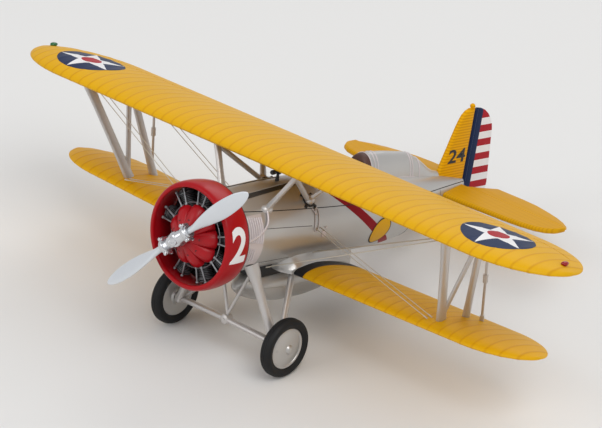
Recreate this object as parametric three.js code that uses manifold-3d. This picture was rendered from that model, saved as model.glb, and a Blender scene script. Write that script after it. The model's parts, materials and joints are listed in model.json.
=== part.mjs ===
// 1:48 display model of a single-seat naval biplane of the early 1930s.
// Millimetres. +X is the nose, +Y is the left (port) side, +Z is up.
// The airframe is built level in its own frame, with the propeller hub at the origin, and is then
// pitched nose-up, about 13 degrees, onto its two main wheels and its tail wheel.

import * as THREE from 'three';
import { mergeVertices } from 'three/addons/utils/BufferGeometryUtils.js';
import Module from 'manifold-3d';

const wasm = await Module();
wasm.setup();

// ---------------------------------------------------------------- driving dimensions

const gap = 0.3;                 // clearance between pieces that touch

const upper = {                  // upper wing
  span: 187, chord: 31.75, leadX: -22.4, leadZ: 18.9,
  incidence: 3.4, dihedral: 0, tipLength: 22, thickness: 0.115,
};
const lower = {                  // lower wing, one panel each side
  span: 166.4, chord: 23.8, leadX: -34.9, leadZ: -11.2,
  incidence: 3.6, dihedral: 1.84, tipLength: 17, thickness: 0.115, rootY: 6.4,
};
const fuselage = {
  frontX: -13, length: 100.1, halfWidth: 11.2, crown: 11, keel: 11.2, wall: 1.2, deckWall: 2,
};
const seam = { frontZ: 7.8, rearZ: 0.87308 };     // joint between shell and decks, at the two ends
const cockpit = { frontX: -49.5, rearX: -64.5, halfWidth: 5.6 };
const headrest = { frontX: -69, halfWidth: 3.9, height: 14.5, padThickness: 2.9 };

const cowl = { frontX: -4.3, depth: 8, outerR: 14.15, lip: 1.65, skin: 0.5 };
const engine = { cylinders: 9, centreX: -9.3, crankcaseR: 6.4, barrelR: 1.75, fins: 4 };
const noseCase = { rearX: -6.6, frontX: -2.9, outerR: 7.7, frontR: 2.4, lobe: 0.055 };
const propeller = { diameter: 57.15, restAngle: 42.8, hubHalf: 5.4, hubR: 1.55, bladeChord: 5.2, shaftR: 0.85 };

const mainWheel = { x: -25.1, z: -26.3, track: 39.6, tyreR: 8, tyreWidth: 3.3, discR: 5.35, axleR: 0.7 };
const gearLeg = { frontX: -20.9, frontAngle: -41, rearTop: [3, 7.9], jointY: 17.3 };
const tank = { frontX: -24.4, length: 46, halfWidth: 5.8, halfDepth: 5.7, centreZ: -16.9 };

// Strut ends are [distance behind the wing's leading edge, distance out from the middle].
const interplane = {
  frontTop: [3.4, 63.5], frontFoot: [5.7, 55.7],
  rearTop: [18.9, 63], rearFoot: [15.2, 56],
  chord: 2.9, thickness: 1.3,
};
const pushrod = { topAheadOfTrail: 5.95, footAheadOfTrail: 6.2, topY: 59.5, footY: 59.4, radius: 0.4, collarR: 0.7 };
const cabane = {
  frontFootX: -23.5, rearFootX: -39.1, footAngle: 44.5,
  frontTop: [3.8, 15], rearTop: [22.6, 16.2], chord: 2.1, thickness: 1.2, bossR: 1.75,
};
const wire = { radius: 0.16, spread: 1.9, lugR: 0.36 };

// Tail sizes run forward (ahead) or aft (behind) from the end of the fuselage.
const fuselageEnd = fuselage.frontX - fuselage.length;
const tailplane = { leadAhead: 13.6, hingeAhead: 0.8, z: -0.4, halfSpan: 38.6, thickness: 1.5 };
const elevator = { trailBehind: 7.6, swingClearance: 2.1, tubeR: 0.5 };
const fin = { baseAhead: 11.3, thickness: 1.5, topZ: 22.1, ballR: 0.75 };
const rudder = { hingeBehind: 1.1, chord: 10.6, topZ: 21.9, bottomZ: -7.6, thickness: 1.5 };
const tailWheel = { axleAhead: 1.9, z: -11.855084, radius: 2.1, width: 1.6, spindleAhead: 4.5, pinR: 0.4 };
const navLight = { behindLead: 16.1, inFromTip: 3.4, length: 2.6, radius: 0.85 };

// ---------------------------------------------------------------- small tools

const radians = THREE.MathUtils.degToRad;
const vec = (x, y, z) => new THREE.Vector3(x, y, z);
const sides = [['left', 1], ['right', -1]];

// Turns a closed three.js geometry into a manifold solid.
function solid(geometry) {
  const bare = geometry.clone();
  bare.deleteAttribute('normal');
  bare.deleteAttribute('uv');
  const merged = mergeVertices(bare, 1e-4);
  const index = merged.index.array;
  const triVerts = [];
  for (let i = 0; i < index.length; i += 3) {
    const [a, b, c] = [index[i], index[i + 1], index[i + 2]];
    if (a !== b && b !== c && c !== a) triVerts.push(a, b, c);
  }
  return new wasm.Manifold(new wasm.Mesh({
    numProp: 3,
    vertProperties: Float32Array.from(merged.attributes.position.array),
    triVerts: Uint32Array.from(triVerts),
  }));
}

// Turns a solid back into a three.js geometry.
function geometryOf(body) {
  const mesh = body.getMesh();
  const geometry = new THREE.BufferGeometry();
  geometry.setAttribute('position', new THREE.BufferAttribute(mesh.vertProperties, 3));
  geometry.setIndex(new THREE.BufferAttribute(mesh.triVerts, 1));
  geometry.computeVertexNormals();
  return geometry;
}

function join(...bodies) {
  return bodies.reduce((sum, body) => sum.add(body));
}

function cut(body, ...tools) {
  return tools.reduce((rest, tool) => rest.subtract(tool), body);
}

// Closed body through rings of points of equal count, with flat ends.
function loft(rings) {
  const count = rings[0].length;
  const points = rings.flat();
  const index = [];
  for (let ring = 0; ring + 1 < rings.length; ring++) {
    for (let i = 0; i < count; i++) {
      const j = (i + 1) % count;
      const [a, b] = [ring * count, (ring + 1) * count];
      index.push(a + i, b + i, b + j, a + i, b + j, a + j);
    }
  }
  for (const [ring, first] of [[0, true], [rings.length - 1, false]]) {
    const centre = rings[ring].reduce((sum, p) => sum.add(p), vec(0, 0, 0)).divideScalar(count);
    points.push(centre);
    for (let i = 0; i < count; i++) {
      const [a, b] = [ring * count + i, ring * count + ((i + 1) % count)];
      index.push(points.length - 1, ...(first ? [a, b] : [b, a]));
    }
  }
  if (signedVolume(points, index) < 0) index.reverse();
  const geometry = new THREE.BufferGeometry().setFromPoints(points);
  geometry.setIndex(index);
  return solid(geometry);
}

function signedVolume(points, index) {
  let volume = 0;
  for (let i = 0; i < index.length; i += 3) {
    const [a, b, c] = [points[index[i]], points[index[i + 1]], points[index[i + 2]]];
    volume += a.dot(b.clone().cross(c)) / 6;
  }
  return volume;
}

function box(x0, x1, y0, y1, z0, z1) {
  const geometry = new THREE.BoxGeometry(x1 - x0, y1 - y0, z1 - z0);
  geometry.translate((x0 + x1) / 2, (y0 + y1) / 2, (z0 + z1) / 2);
  return solid(geometry);
}

// Round bar from one point to another.
function rod(from, to, radius, endRadius = radius, segments = 8) {
  const geometry = new THREE.CylinderGeometry(endRadius, radius, from.distanceTo(to), segments);
  const direction = to.clone().sub(from).normalize();
  geometry.applyQuaternion(new THREE.Quaternion().setFromUnitVectors(vec(0, 1, 0), direction));
  geometry.translate(...from.clone().add(to).multiplyScalar(0.5).toArray());
  return solid(geometry);
}

// Streamlined strut: an oval bar whose long side lies fore and aft.
function strut(from, to, chord, thickness, endChord = chord, endThickness = thickness) {
  const axis = to.clone().sub(from).normalize();
  const across = vec(1, 0, 0).cross(axis).normalize();
  const along = axis.clone().cross(across).normalize();
  const ring = (centre, long, wide) => ovalAngles(12).map((angle) => centre.clone()
    .addScaledVector(along, Math.cos(angle) * long / 2)
    .addScaledVector(across, Math.sin(angle) * wide / 2));
  return loft([ring(from, chord, thickness), ring(to, endChord, endThickness)]);
}

function ovalAngles(count) {
  return Array.from({ length: count }, (_, i) => (i + 0.5) * 2 * Math.PI / count);
}

function ball(centre, radius, scale = [1, 1, 1], segments = 12) {
  const geometry = new THREE.SphereGeometry(radius, segments, segments / 2);
  geometry.rotateX(Math.PI / 2);
  geometry.scale(...scale);
  geometry.translate(...centre.toArray());
  return solid(geometry);
}

// Body of revolution about the Y axis from [radius, y] pairs.
function turned(profile, segments, start = 0) {
  const points = profile.map(([radius, y]) => new THREE.Vector2(radius, y));
  const body = solid(new THREE.LatheGeometry(points, segments, start));
  return body.volume() < 0 ? turned([...profile].reverse(), segments, start) : body;
}

// Body of revolution about the X axis from [radius, x] pairs.
function turnedAboutX(profile, segments, start = 0) {
  return turned(profile, segments, start).rotate([0, 0, -90]);
}

// Flat plate from an outline, with chamfered edges, standing on its own XY plane and centred on it.
function plate(outline, thickness, chamfer) {
  const distinct = outline.filter((p, i) => p.distanceTo(outline[(i + 1) % outline.length]) > chamfer);
  const geometry = new THREE.ExtrudeGeometry(new THREE.Shape(distinct), {
    depth: thickness - 2 * chamfer, bevelEnabled: true, bevelThickness: chamfer,
    bevelSize: chamfer, bevelOffset: -chamfer, bevelSegments: 1, steps: 1,
  });
  geometry.translate(0, 0, chamfer - thickness / 2);
  return solid(geometry);
}

const mirrored = (body) => body.mirror([0, 1, 0]);
const forSide = (body, side) => (side > 0 ? body : mirrored(body));

// ---------------------------------------------------------------- fuselage form

// Shares of the length, half width, crown and keel at each station.
const stationShares = [
  [0, 0.955, 0.93, 0.97], [0.07, 0.99, 0.96, 0.99], [0.21, 1, 1, 1], [0.33, 1, 0.97, 1.01],
  [0.47, 0.97, 0.92, 1.06], [0.62, 0.88, 0.76, 1.08], [0.76, 0.68, 0.57, 0.95],
  [0.88, 0.4, 0.36, 0.72], [1, 0.12, 0.15, 0.45],
];
const formCurve = new THREE.CatmullRomCurve3(
  stationShares.map(([t, width, crown]) => vec(t, width, crown)), false, 'catmullrom', 0.5);
const keelCurve = new THREE.CatmullRomCurve3(
  stationShares.map(([t, , , keel]) => vec(t, keel, 0)), false, 'catmullrom', 0.5);

function sectionAtParameter(u) {
  const form = formCurve.getPoint(u);
  return {
    x: fuselage.frontX - form.x * fuselage.length,
    width: form.y * fuselage.halfWidth,
    crown: form.z * fuselage.crown,
    keel: keelCurve.getPoint(u).y * fuselage.keel,
  };
}

function sectionAt(x) {
  let [low, high] = [0, 1];
  for (let i = 0; i < 40; i++) {
    const middle = (low + high) / 2;
    if (sectionAtParameter(middle).x > x) low = middle;
    else high = middle;
  }
  return sectionAtParameter(low);
}

// Point on the skin; the angle is measured from the port side, 90 degrees being the crown.
function skinPoint(section, angle, offset = 0) {
  const [c, s] = [Math.cos(angle), Math.sin(angle)];
  const height = s > 0 ? section.crown : section.keel;
  return vec(section.x, (section.width + offset) * c, (height + offset) * s);
}

const skinAt = (x, degrees, offset = 0) => skinPoint(sectionAt(x), radians(degrees), offset);

function fuselageForm(offset, frontTrim = 0, rearTrim = 0, stations = 15, around = 24) {
  const rings = [];
  for (let i = 0; i < stations; i++) {
    const section = sectionAtParameter(i / (stations - 1));
    if (i === 0) section.x += -frontTrim;
    if (i === stations - 1) section.x += rearTrim;
    rings.push(ovalAngles(around).map((angle) => skinPoint(section, angle, offset)));
  }
  return loft(rings);
}

const seamZ = (x) => seam.frontZ + (x - fuselage.frontX) * (seam.frontZ - seam.rearZ) / fuselage.length;
const farAway = 60;

// Half-space above (+1) or below (-1) the seam, moved off it by half the gap.
function seamSide(side) {
  const [front, rear] = [fuselage.frontX + farAway, fuselageEnd - farAway];
  const ring = (x) => {
    const z = seamZ(x) + side * gap / 2;
    return [vec(x, -farAway, z), vec(x, farAway, z), vec(x, farAway, z + side * farAway),
      vec(x, -farAway, z + side * farAway)];
  };
  return loft([ring(front), ring(rear)]);
}

const skinClearance = fuselageForm(gap);

// ---------------------------------------------------------------- wings

// Cambered aerofoil outline for a unit chord, from the trailing edge round the nose and back.
function aerofoil(thickness, count = 9) {
  const [camber, peak, edge] = [0.042, 0.4, 0.009];
  const upperSide = [];
  const lowerSide = [];
  for (let i = 0; i < count; i++) {
    const t = (1 - Math.cos(Math.PI * i / (count - 1))) / 2;
    const half = 5 * thickness * (0.2969 * Math.sqrt(t) - 0.126 * t - 0.3516 * t ** 2
      + 0.2843 * t ** 3 - 0.1036 * t ** 4) + edge * t;
    const line = t < peak ? camber / peak ** 2 * (2 * peak * t - t ** 2)
      : camber / (1 - peak) ** 2 * (1 - 2 * peak + 2 * peak * t - t ** 2);
    upperSide.push([t, line + half, i ? 1 : 0]);
    lowerSide.push([t, line - half, -1]);
  }
  return [...upperSide.reverse(), ...lowerSide.slice(1)];
}

// Share of the full chord left at a distance from the tip: an elliptical tip.
function tipShare(fromTip, tipLength) {
  if (fromTip >= tipLength) return 1;
  const t = 1 - fromTip / tipLength;
  return Math.sqrt(Math.max(0, 1 - t * t));
}

// Ring of the wing at one spanwise place, grown by a clearance.
function wingRing(wing, y, fromTip, clearance) {
  const share = tipShare(fromTip, wing.tipLength);
  const chord = wing.chord * share;
  const thick = Math.max(share, 0.35);
  const tilt = radians(wing.incidence);
  return aerofoil(wing.thickness).map(([t, h, face]) => {
    const along = wing.chord / 2 + (t - 0.5) * (chord + 2 * clearance);
    const height = h * wing.chord * thick + clearance * face;
    return vec(
      wing.leadX - along * Math.cos(tilt) + height * Math.sin(tilt),
      y,
      wing.leadZ - along * Math.sin(tilt) + height * Math.cos(tilt)
        + Math.abs(y) * Math.tan(radians(wing.dihedral)),
    );
  });
}

const tipSteps = [0.25, 0.9, 2.2, 4.2, 7, 11, 16];

function tipPlaces(wing) {
  return [...tipSteps.filter((step) => step < wing.tipLength * 0.9), wing.tipLength];
}

function upperWingForm(clearance) {
  const tip = upper.span / 2 + clearance;
  const places = tipPlaces(upper);
  const stations = [
    ...places.map((step) => [-(tip - step), step]),
    ...[...places].reverse().map((step) => [tip - step, step]),
  ];
  return loft(stations.map(([y, step]) => wingRing(upper, y, step, clearance)));
}

function lowerWingForm(clearance) {
  const tip = lower.span / 2 + clearance;
  const stations = [
    [lower.rootY - clearance, lower.span],
    ...tipPlaces(lower).reverse().map((step) => [tip - step, step]),
  ];
  return loft(stations.map(([y, step]) => wingRing(lower, y, step, clearance)));
}

// Height of a wing's chord line below or above which its skins lie.
function chordZ(wing, x, y) {
  return wing.leadZ - (wing.leadX - x) * Math.tan(radians(wing.incidence))
    + Math.abs(y) * Math.tan(radians(wing.dihedral));
}

const upperClearance = upperWingForm(gap);
const lowerClearance = lowerWingForm(gap);

const upperWing = () => upperWingForm(0);
const lowerWing = (side) => forSide(cut(lowerWingForm(0), skinClearance), side);

// ---------------------------------------------------------------- fuselage pieces

const tailplaneLeadX = fuselageEnd + tailplane.leadAhead;
const elevatorHingeX = fuselageEnd + tailplane.hingeAhead;
const elevatorTrailX = fuselageEnd - elevator.trailBehind;
const finBaseX = fuselageEnd + fin.baseAhead;
const rudderHingeX = fuselageEnd - rudder.hingeBehind;
const rudderTrailX = rudderHingeX - rudder.chord;

function tailTubeBore() {
  const reach = fuselage.halfWidth;
  const radius = elevator.tubeR + gap;
  const end = (y) => vec(elevatorHingeX, y, tailplane.z);
  return rod(end(-reach), end(reach), radius, radius, 12);
}

// Lower body of the fuselage, open at the front and along the top.
function fuselageShell() {
  const inside = fuselageForm(-fuselage.wall, -farAway, fuselage.length * 0.12);
  const shell = cut(fuselageForm(0), inside);
  return cut(shell.intersect(seamSide(-1)), tailTubeBore());
}

const troughs = { y: 4.3, radius: 1.25, frontX: -12, rearX: -37, frontZ: 10.2, rearZ: 10.9 };

function gunTrough(side) {
  const from = vec(troughs.frontX, side * troughs.y, troughs.frontZ);
  const to = vec(troughs.rearX, side * troughs.y, troughs.rearZ);
  return rod(from, to, troughs.radius, troughs.radius * 0.7, 10);
}

// Oval cockpit opening, cut straight down.
function cockpitHole(clearance) {
  const half = (cockpit.frontX - cockpit.rearX) / 2 + clearance;
  const geometry = new THREE.CylinderGeometry(1, 1, farAway, 24);
  geometry.rotateX(Math.PI / 2);
  geometry.scale(half, cockpit.halfWidth + clearance, 1);
  geometry.translate((cockpit.frontX + cockpit.rearX) / 2, 0, farAway / 2);
  return solid(geometry);
}

const slab = (frontX, rearX) => box(rearX, frontX, -farAway, farAway, -farAway, farAway);

// Deck between the firewall and the headrest, with gun troughs and the cockpit opening.
function forwardDeck() {
  const arch = cut(fuselageForm(0), fuselageForm(-fuselage.deckWall, -farAway, -farAway));
  const piece = arch.intersect(seamSide(1)).intersect(slab(fuselage.frontX, headrest.frontX));
  return cut(piece, cockpitHole(0), gunTrough(1), gunTrough(-1));
}

// Crown line of the headrest hump: [share of its length, share of its height above the seam line].
const humpShares = [[0, 1], [0.22, 0.955], [0.43, 0.89], [0.54, 0.845], [0.66, 0.72], [0.77, 0.6], [0.87, 0.45], [1, 0.33]];

function headrestHump() {
  const length = headrest.frontX - finBaseX;
  const rings = humpShares.map(([along, height]) => {
    const x = headrest.frontX - gap - along * length;
    const crown = headrest.height * height;
    const base = seamZ(x) - fuselage.wall;
    const width = headrest.halfWidth * (1 - 0.62 * along ** 1.6);
    return ovalAngles(20).map((angle) => {
      const s = Math.sin(angle);
      const z = s > 0 ? base + (crown - base) * s ** 0.9 : base + s * 0.5;
      return vec(x, width * Math.cos(angle), z);
    });
  });
  return loft(rings);
}

// Deck behind the cockpit with the headrest hump, closed over the tail.
function headrestDeck() {
  const arch = cut(fuselageForm(0), fuselageForm(-fuselage.wall, -farAway, fuselage.length * 0.3));
  const rear = slab(headrest.frontX - gap, fuselageEnd - farAway);
  return join(arch.intersect(seamSide(1)).intersect(rear), headrestHump().intersect(seamSide(1)));
}

function firewall() {
  const section = sectionAt(fuselage.frontX);
  const inset = -(fuselage.deckWall + gap);
  const ring = (x) => ovalAngles(28).map((angle) => skinPoint({ ...section, x }, angle, inset));
  return loft([ring(fuselage.frontX - gap), ring(fuselage.frontX - gap - fuselage.wall)]);
}

const louvres = { frontX: -14.2, rearX: -20.9, lowAngle: -32, highAngle: 40, thickness: 0.45, ribs: 6 };

// Curved side panel behind the cowl with upright cooling ribs.
function louvrePanel(side) {
  const band = (frontX, rearX, inner, outer) => {
    const steps = 7;
    return loft(Array.from({ length: steps + 1 }, (_, i) => {
      const angle = THREE.MathUtils.lerp(louvres.lowAngle, louvres.highAngle, i / steps);
      return [skinAt(frontX, angle, inner), skinAt(frontX, angle, outer),
        skinAt(rearX, angle, outer), skinAt(rearX, angle, inner)];
    }));
  };
  const sheet = band(louvres.frontX, louvres.rearX, gap, gap + louvres.thickness);
  const pitch = (louvres.frontX - louvres.rearX) / louvres.ribs;
  const ribs = Array.from({ length: louvres.ribs }, (_, i) => {
    const x = louvres.frontX - (i + 0.3) * pitch;
    return band(x, x - pitch * 0.4, gap + louvres.thickness / 2, gap + louvres.thickness * 1.7);
  });
  return forSide(join(sheet, ...ribs), side);
}

const sight = { frontX: -32.3, rearX: -46.5, aboveDeck: 2.5, radius: 0.62, postXs: [-35, -44] };

// Tubular gun sight on two posts, ahead of the windscreen.
function gunsight() {
  const deckZ = (x) => sectionAt(x).crown;
  const z = deckZ(sight.frontX) + sight.aboveDeck;
  const tube = rod(vec(sight.frontX, 0, z), vec(sight.rearX, 0, z), sight.radius, sight.radius, 10);
  const posts = sight.postXs.map((x) => rod(vec(x, 0, deckZ(x) + gap), vec(x, 0, z), 0.62, 0.45));
  return join(tube, ...posts);
}

const screen = { baseX: -46.8, topX: -49.6, height: 3.6, halfWidth: 4.2, thickness: 0.5 };

// Three-pane windscreen standing on the deck; its front pane has a notch for the sight.
function windscreen() {
  const outline = (grow) => {
    const w = screen.halfWidth + grow;
    return [[w * 0.45, 0.9], [w, -2.4 + grow], [w * 0.9, -2.4 - 0.4], [0, -2.4 - 0.4], [-w * 0.9, -2.4 - 0.4],
      [-w, -2.4 + grow], [-w * 0.45, 0.9]];
  };
  const ring = (x0, z, shrink) => outline(0).map(([y, dx]) => vec(x0 + dx * shrink, y * shrink, z));
  const base = sectionAt(screen.baseX).crown - 3;
  const top = sectionAt(screen.baseX).crown + screen.height;
  const outer = loft([ring(screen.baseX, base, 1.05), ring(screen.topX + 1.2, top, 0.8)]);
  const inner = loft([ring(screen.baseX - screen.thickness, base - 1, 1.0),
    ring(screen.topX + 1.2 - screen.thickness, top + 1, 0.74)]);
  const open = box(screen.topX - 8, screen.topX - 0.4, -farAway, farAway, base - 2, top + 2);
  const sightSlot = box(sight.rearX - gap, sight.frontX, -sight.radius - gap, sight.radius + gap,
    base - 2, sectionAt(sight.frontX).crown + sight.aboveDeck + sight.radius + gap);
  return cut(outer, inner, open, sightSlot, skinClearance);
}

const tub = { floorZ: -5.5, wall: 0.8, depthBelowSeam: 0.6 };

// Open-topped cockpit box under the opening.
function cockpitTub() {
  const top = seamZ(cockpit.frontX) - tub.depthBelowSeam;
  const [front, rear, half] = [cockpit.frontX + 1, cockpit.rearX + 0.2, cockpit.halfWidth];
  const outer = box(rear, front, -half, half, tub.floorZ, top - 0.9);
  const inner = box(rear + tub.wall, front - tub.wall, -half + tub.wall, half - tub.wall,
    tub.floorZ + tub.wall, top + 1);
  const room = fuselageForm(-(fuselage.wall + gap), -farAway, -farAway);
  return cut(outer, inner).intersect(room);
}

const seatSize = { x: -60.6, width: 6.4, depth: 5, back: 6.6, thickness: 0.7 };

// Bucket seat: pan, back and a pedestal.
function pilotSeat() {
  const floor = tub.floorZ + tub.wall + gap;
  const { x, width, depth, back, thickness } = seatSize;
  const pan = box(x - depth / 2, x + depth / 2, -width / 2, width / 2, floor + 2, floor + 2 + thickness);
  const rest = box(x - depth / 2, x - depth / 2 + thickness, -width / 2, width / 2, floor + 2, floor + 2 + back);
  const pedestal = box(x - 1.2, x + 1.2, -1.4, 1.4, floor, floor + 2.2);
  return join(pan, rest, pedestal);
}

// Control stick with a round grip.
function controlStick() {
  const floor = tub.floorZ + tub.wall + gap;
  const foot = vec(-55.2, 0, floor);
  const grip = vec(-55.9, 0, floor + 6);
  return join(rod(vec(foot.x, 0, floor), vec(foot.x, 0, floor + 0.7), 0.9), rod(foot, grip, 0.32), ball(grip, 0.6, [1, 1, 1.3], 8));
}

// Instrument panel across the front of the cockpit.
function instrumentPanel() {
  const x = cockpit.frontX + 1 - tub.wall - gap;
  const half = cockpit.halfWidth - tub.wall - gap;
  const top = seamZ(cockpit.frontX) - tub.depthBelowSeam;
  return box(x - 0.6, x, -half, half, tub.floorZ + tub.wall + 3, top - 0.9);
}

// Padded headrest, a bulging cap on the front of the hump.
function headrestPad() {
  const { frontX, halfWidth, height, padThickness } = headrest;
  const base = sectionAt(frontX).crown - 1.5;
  const ring = ([forward, size]) => ovalAngles(20).map((angle) => {
    const s = Math.sin(angle);
    const rise = s > 0 ? (height - base) * s ** 0.9 : s * 0.5;
    return vec(frontX + forward * padThickness, halfWidth * size * Math.cos(angle), base + rise * size);
  });
  const cap = loft([[0, 0.97], [0.45, 0.95], [0.8, 0.85], [1, 0.64]].map(ring));
  return cut(cap, skinClearance);
}

// Concave fillet between the fuselage side and the upper face of the lower wing.
function rootFairing(side) {
  const stations = [[-35.6, 0.25], [-37.5, 0.6], [-41, 0.9], [-46, 1], [-52, 1], [-57.5, 0.85], [-62, 0.35]];
  const rings = stations.map(([x, size]) => {
    const high = skinAt(x, -24 - 22 * (1 - size), -0.4);
    const wingZ = chordZ(lower, x, high.y);
    const out = high.y + 1.2 + 2.6 * size;
    const floor = Math.min(wingZ, high.z - 0.8);
    const curve = new THREE.QuadraticBezierCurve3(high, vec(x, high.y + 0.6, floor + 1.6), vec(x, out, floor + 1.1));
    return [...curve.getPoints(5), vec(x, out, floor), vec(x, high.y - 3, floor), vec(x, high.y - 3, high.z - 0.3)];
  });
  return forSide(cut(loft(rings), skinClearance, lowerClearance), side);
}

// ---------------------------------------------------------------- struts and wires

// Point in the middle of a wing's thickness, at a distance behind its leading edge and out from the middle.
function insideWing(wing, [behind, y]) {
  const x = wing.leadX - behind;
  return vec(x, y, (wingSkinZ(wing, x, y, 1) + wingSkinZ(wing, x, y, -1)) / 2);
}

const upperEnd = (place) => insideWing(upper, place);
const lowerEnd = (place) => insideWing(lower, place);

// N-shaped interplane strut, one moulding.
function interplaneStrut(side) {
  const { chord, thickness } = interplane;
  const [frontTop, frontFoot] = [upperEnd(interplane.frontTop), lowerEnd(interplane.frontFoot)];
  const [rearTop, rearFoot] = [upperEnd(interplane.rearTop), lowerEnd(interplane.rearFoot)];
  const diagonalFoot = frontFoot.clone().lerp(frontTop, 0.07);
  const bars = join(
    strut(frontFoot, frontTop, chord, thickness),
    strut(rearFoot, rearTop, chord * 0.85, thickness * 0.9),
    strut(diagonalFoot, rearTop.clone().lerp(rearFoot, 0.03), chord * 0.6, thickness * 0.7),
  );
  return forSide(cut(bars, upperClearance, lowerClearance), side);
}

// Aileron push-rod between the wings, with a turnbuckle collar at mid-height.
function aileronPushrod(side) {
  const top = upperEnd([upper.chord - pushrod.topAheadOfTrail, pushrod.topY]);
  const foot = lowerEnd([lower.chord - pushrod.footAheadOfTrail, pushrod.footY]);
  const collar = [0.42, 0.5].map((share) => foot.clone().lerp(top, share));
  const bars = join(rod(foot, top, pushrod.radius), rod(...collar, pushrod.collarR));
  return forSide(cut(bars, upperClearance, lowerClearance), side);
}

// N-shaped centre-section strut with a round fairing at each foot.
function cabaneStrut(side) {
  const { chord, thickness, bossR } = cabane;
  const [frontFoot, rearFoot] = [cabane.frontFootX, cabane.rearFootX].map((x) => skinAt(x, cabane.footAngle));
  const [frontTop, rearTop] = [upperEnd(cabane.frontTop), upperEnd(cabane.rearTop)];
  const bars = join(
    strut(frontFoot, frontTop, chord, thickness),
    strut(rearFoot, frontTop.clone().lerp(frontFoot, 0.16), chord * 0.7, thickness * 0.8),
    strut(rearFoot, rearTop, chord * 0.85, thickness * 0.9),
    ball(frontFoot, bossR),
    ball(rearFoot, bossR * 0.85),
  );
  return forSide(cut(bars, upperClearance, skinClearance), side);
}

// Pair of rigging wires that share a lug at each end; the ends lie side by side fore and aft.
function wirePair(from, to, side) {
  const offsets = [-wire.spread / 2, wire.spread / 2];
  const wires = offsets.map((dx) => {
    const shift = vec(dx, 0, 0);
    return rod(from.clone().add(shift), to.clone().add(shift), wire.radius, wire.radius, 6);
  });
  const lugs = [from, to].map((end) => rod(end.clone().add(vec(-wire.spread / 2 - wire.lugR, 0, 0)),
    end.clone().add(vec(wire.spread / 2 + wire.lugR, 0, 0)), wire.lugR, wire.lugR, 6));
  return forSide(join(...wires, ...lugs), side);
}

const lugClear = gap + wire.lugR + 0.15;
// Places for the wires' lugs on the underside of the upper wing and on top of the lower wing.
const underUpper = (x, y) => vec(x, y, wingSkinZ(upper, x, y, -1) - lugClear);
const overLower = (x, y) => vec(x, y, wingSkinZ(lower, x, y, 1) + lugClear);

// Height of the upper (+1) or lower (-1) skin of the plain part of a wing.
function wingSkinZ(wing, x, y, side) {
  const ring = wingRing(wing, y, wing.span, 0);
  const half = (ring.length + 1) / 2;
  const skin = side > 0 ? ring.slice(0, half) : ring.slice(half - 1);
  for (let i = 0; i + 1 < skin.length; i++) {
    const [a, b] = [skin[i], skin[i + 1]];
    if ((a.x - x) * (b.x - x) <= 0) return THREE.MathUtils.lerp(a.z, b.z, (x - a.x) / (b.x - a.x));
  }
  return chordZ(wing, x, y);
}

const rigging = {
  flyingFront: { top: [6.2, 60.4], rootX: -28.5, rootAngle: -48, lift: 0.2 },
  flyingRear: { top: [21.6, 60.6], rootX: -43.5, rootAngle: -31, lift: 2.2 },
  landing: { foot: [2.7, 53.6], rootX: -40.9, rootAngle: 4, lift: 0.2 },
};

const flyingWires = ({ top, rootX, rootAngle, lift }, side) =>
  wirePair(skinAt(rootX, rootAngle, lugClear + lift), underUpper(upper.leadX - top[0], top[1]), side);
const landingWires = ({ foot, rootX, rootAngle, lift }, side) =>
  wirePair(skinAt(rootX, rootAngle, lugClear + lift), overLower(lower.leadX - foot[0], foot[1]), side);

// ---------------------------------------------------------------- nose

function ringCowl() {
  const { frontX, depth, outerR, lip, skin } = cowl;
  const openingR = outerR - lip;
  const rearR = outerR - 0.55;
  const profile = [
    [openingR + 0.55, frontX], [openingR + 1.15, frontX - 0.25], [outerR - 0.15, frontX - 1.2],
    [outerR, frontX - 2.8], [outerR - 0.05, frontX - depth * 0.62], [rearR, frontX - depth],
    [rearR - skin, frontX - depth], [outerR - 1.1, frontX - depth * 0.62], [openingR + 0.55, frontX - 2.6],
    [openingR + 0.1, frontX - 1.1], [openingR, frontX - 0.45], [openingR + 0.2, frontX - 0.1],
    [openingR + 0.55, frontX],
  ];
  return turnedAboutX(profile, 40);
}

const headR = () => cowl.outerR - 1.1 - gap - 0.15;

// One finned cylinder, standing on the crankcase and pointing along +Z.
function cylinderBarrel() {
  const { barrelR, fins, crankcaseR } = engine;
  const [base, top] = [crankcaseR - 0.6, headR()];
  const profile = [[0, base]];
  const pitch = (top - 1.4 - crankcaseR) / fins;
  for (let i = 0; i < fins; i++) {
    const y = crankcaseR + i * pitch;
    profile.push([barrelR * 0.78, i === 0 ? base : y]);
    profile.push([barrelR * 0.78, y + pitch * 0.45], [barrelR, y + pitch * 0.45], [barrelR, y + pitch * 0.95]);
  }
  profile.push([barrelR * 0.95, top - 1.3], [barrelR * 0.85, top - 0.5], [barrelR * 0.5, top], [0, top]);
  return turned(profile, 8).rotate([90, 0, 0]);
}

const cylinderAngle = (i) => 90 + i * 360 / engine.cylinders;

// Crankcase barrel with nine finned cylinders round it.
function engineBlock() {
  const { crankcaseR, centreX, cylinders } = engine;
  const front = noseCase.rearX - gap;
  const rear = fuselage.frontX;
  const core = turnedAboutX([[0, rear], [crankcaseR * 0.8, rear], [crankcaseR, rear + 1.2], [crankcaseR, front], [0, front]], 27);
  const bore = rod(vec(front + 1, 0, 0), vec(front - 2.4, 0, 0), propeller.shaftR + gap, propeller.shaftR + gap, 12);
  const barrel = cylinderBarrel();
  const ring = Array.from({ length: cylinders }, (_, i) =>
    barrel.translate([centreX, 0, 0]).rotate([cylinderAngle(i) - 90, 0, 0]));
  return cut(join(core, ...ring), bore);
}

const pushrods = { ringR: 8.1, x: -6.9, radius: 0.24, lean: 7.5 };

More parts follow.
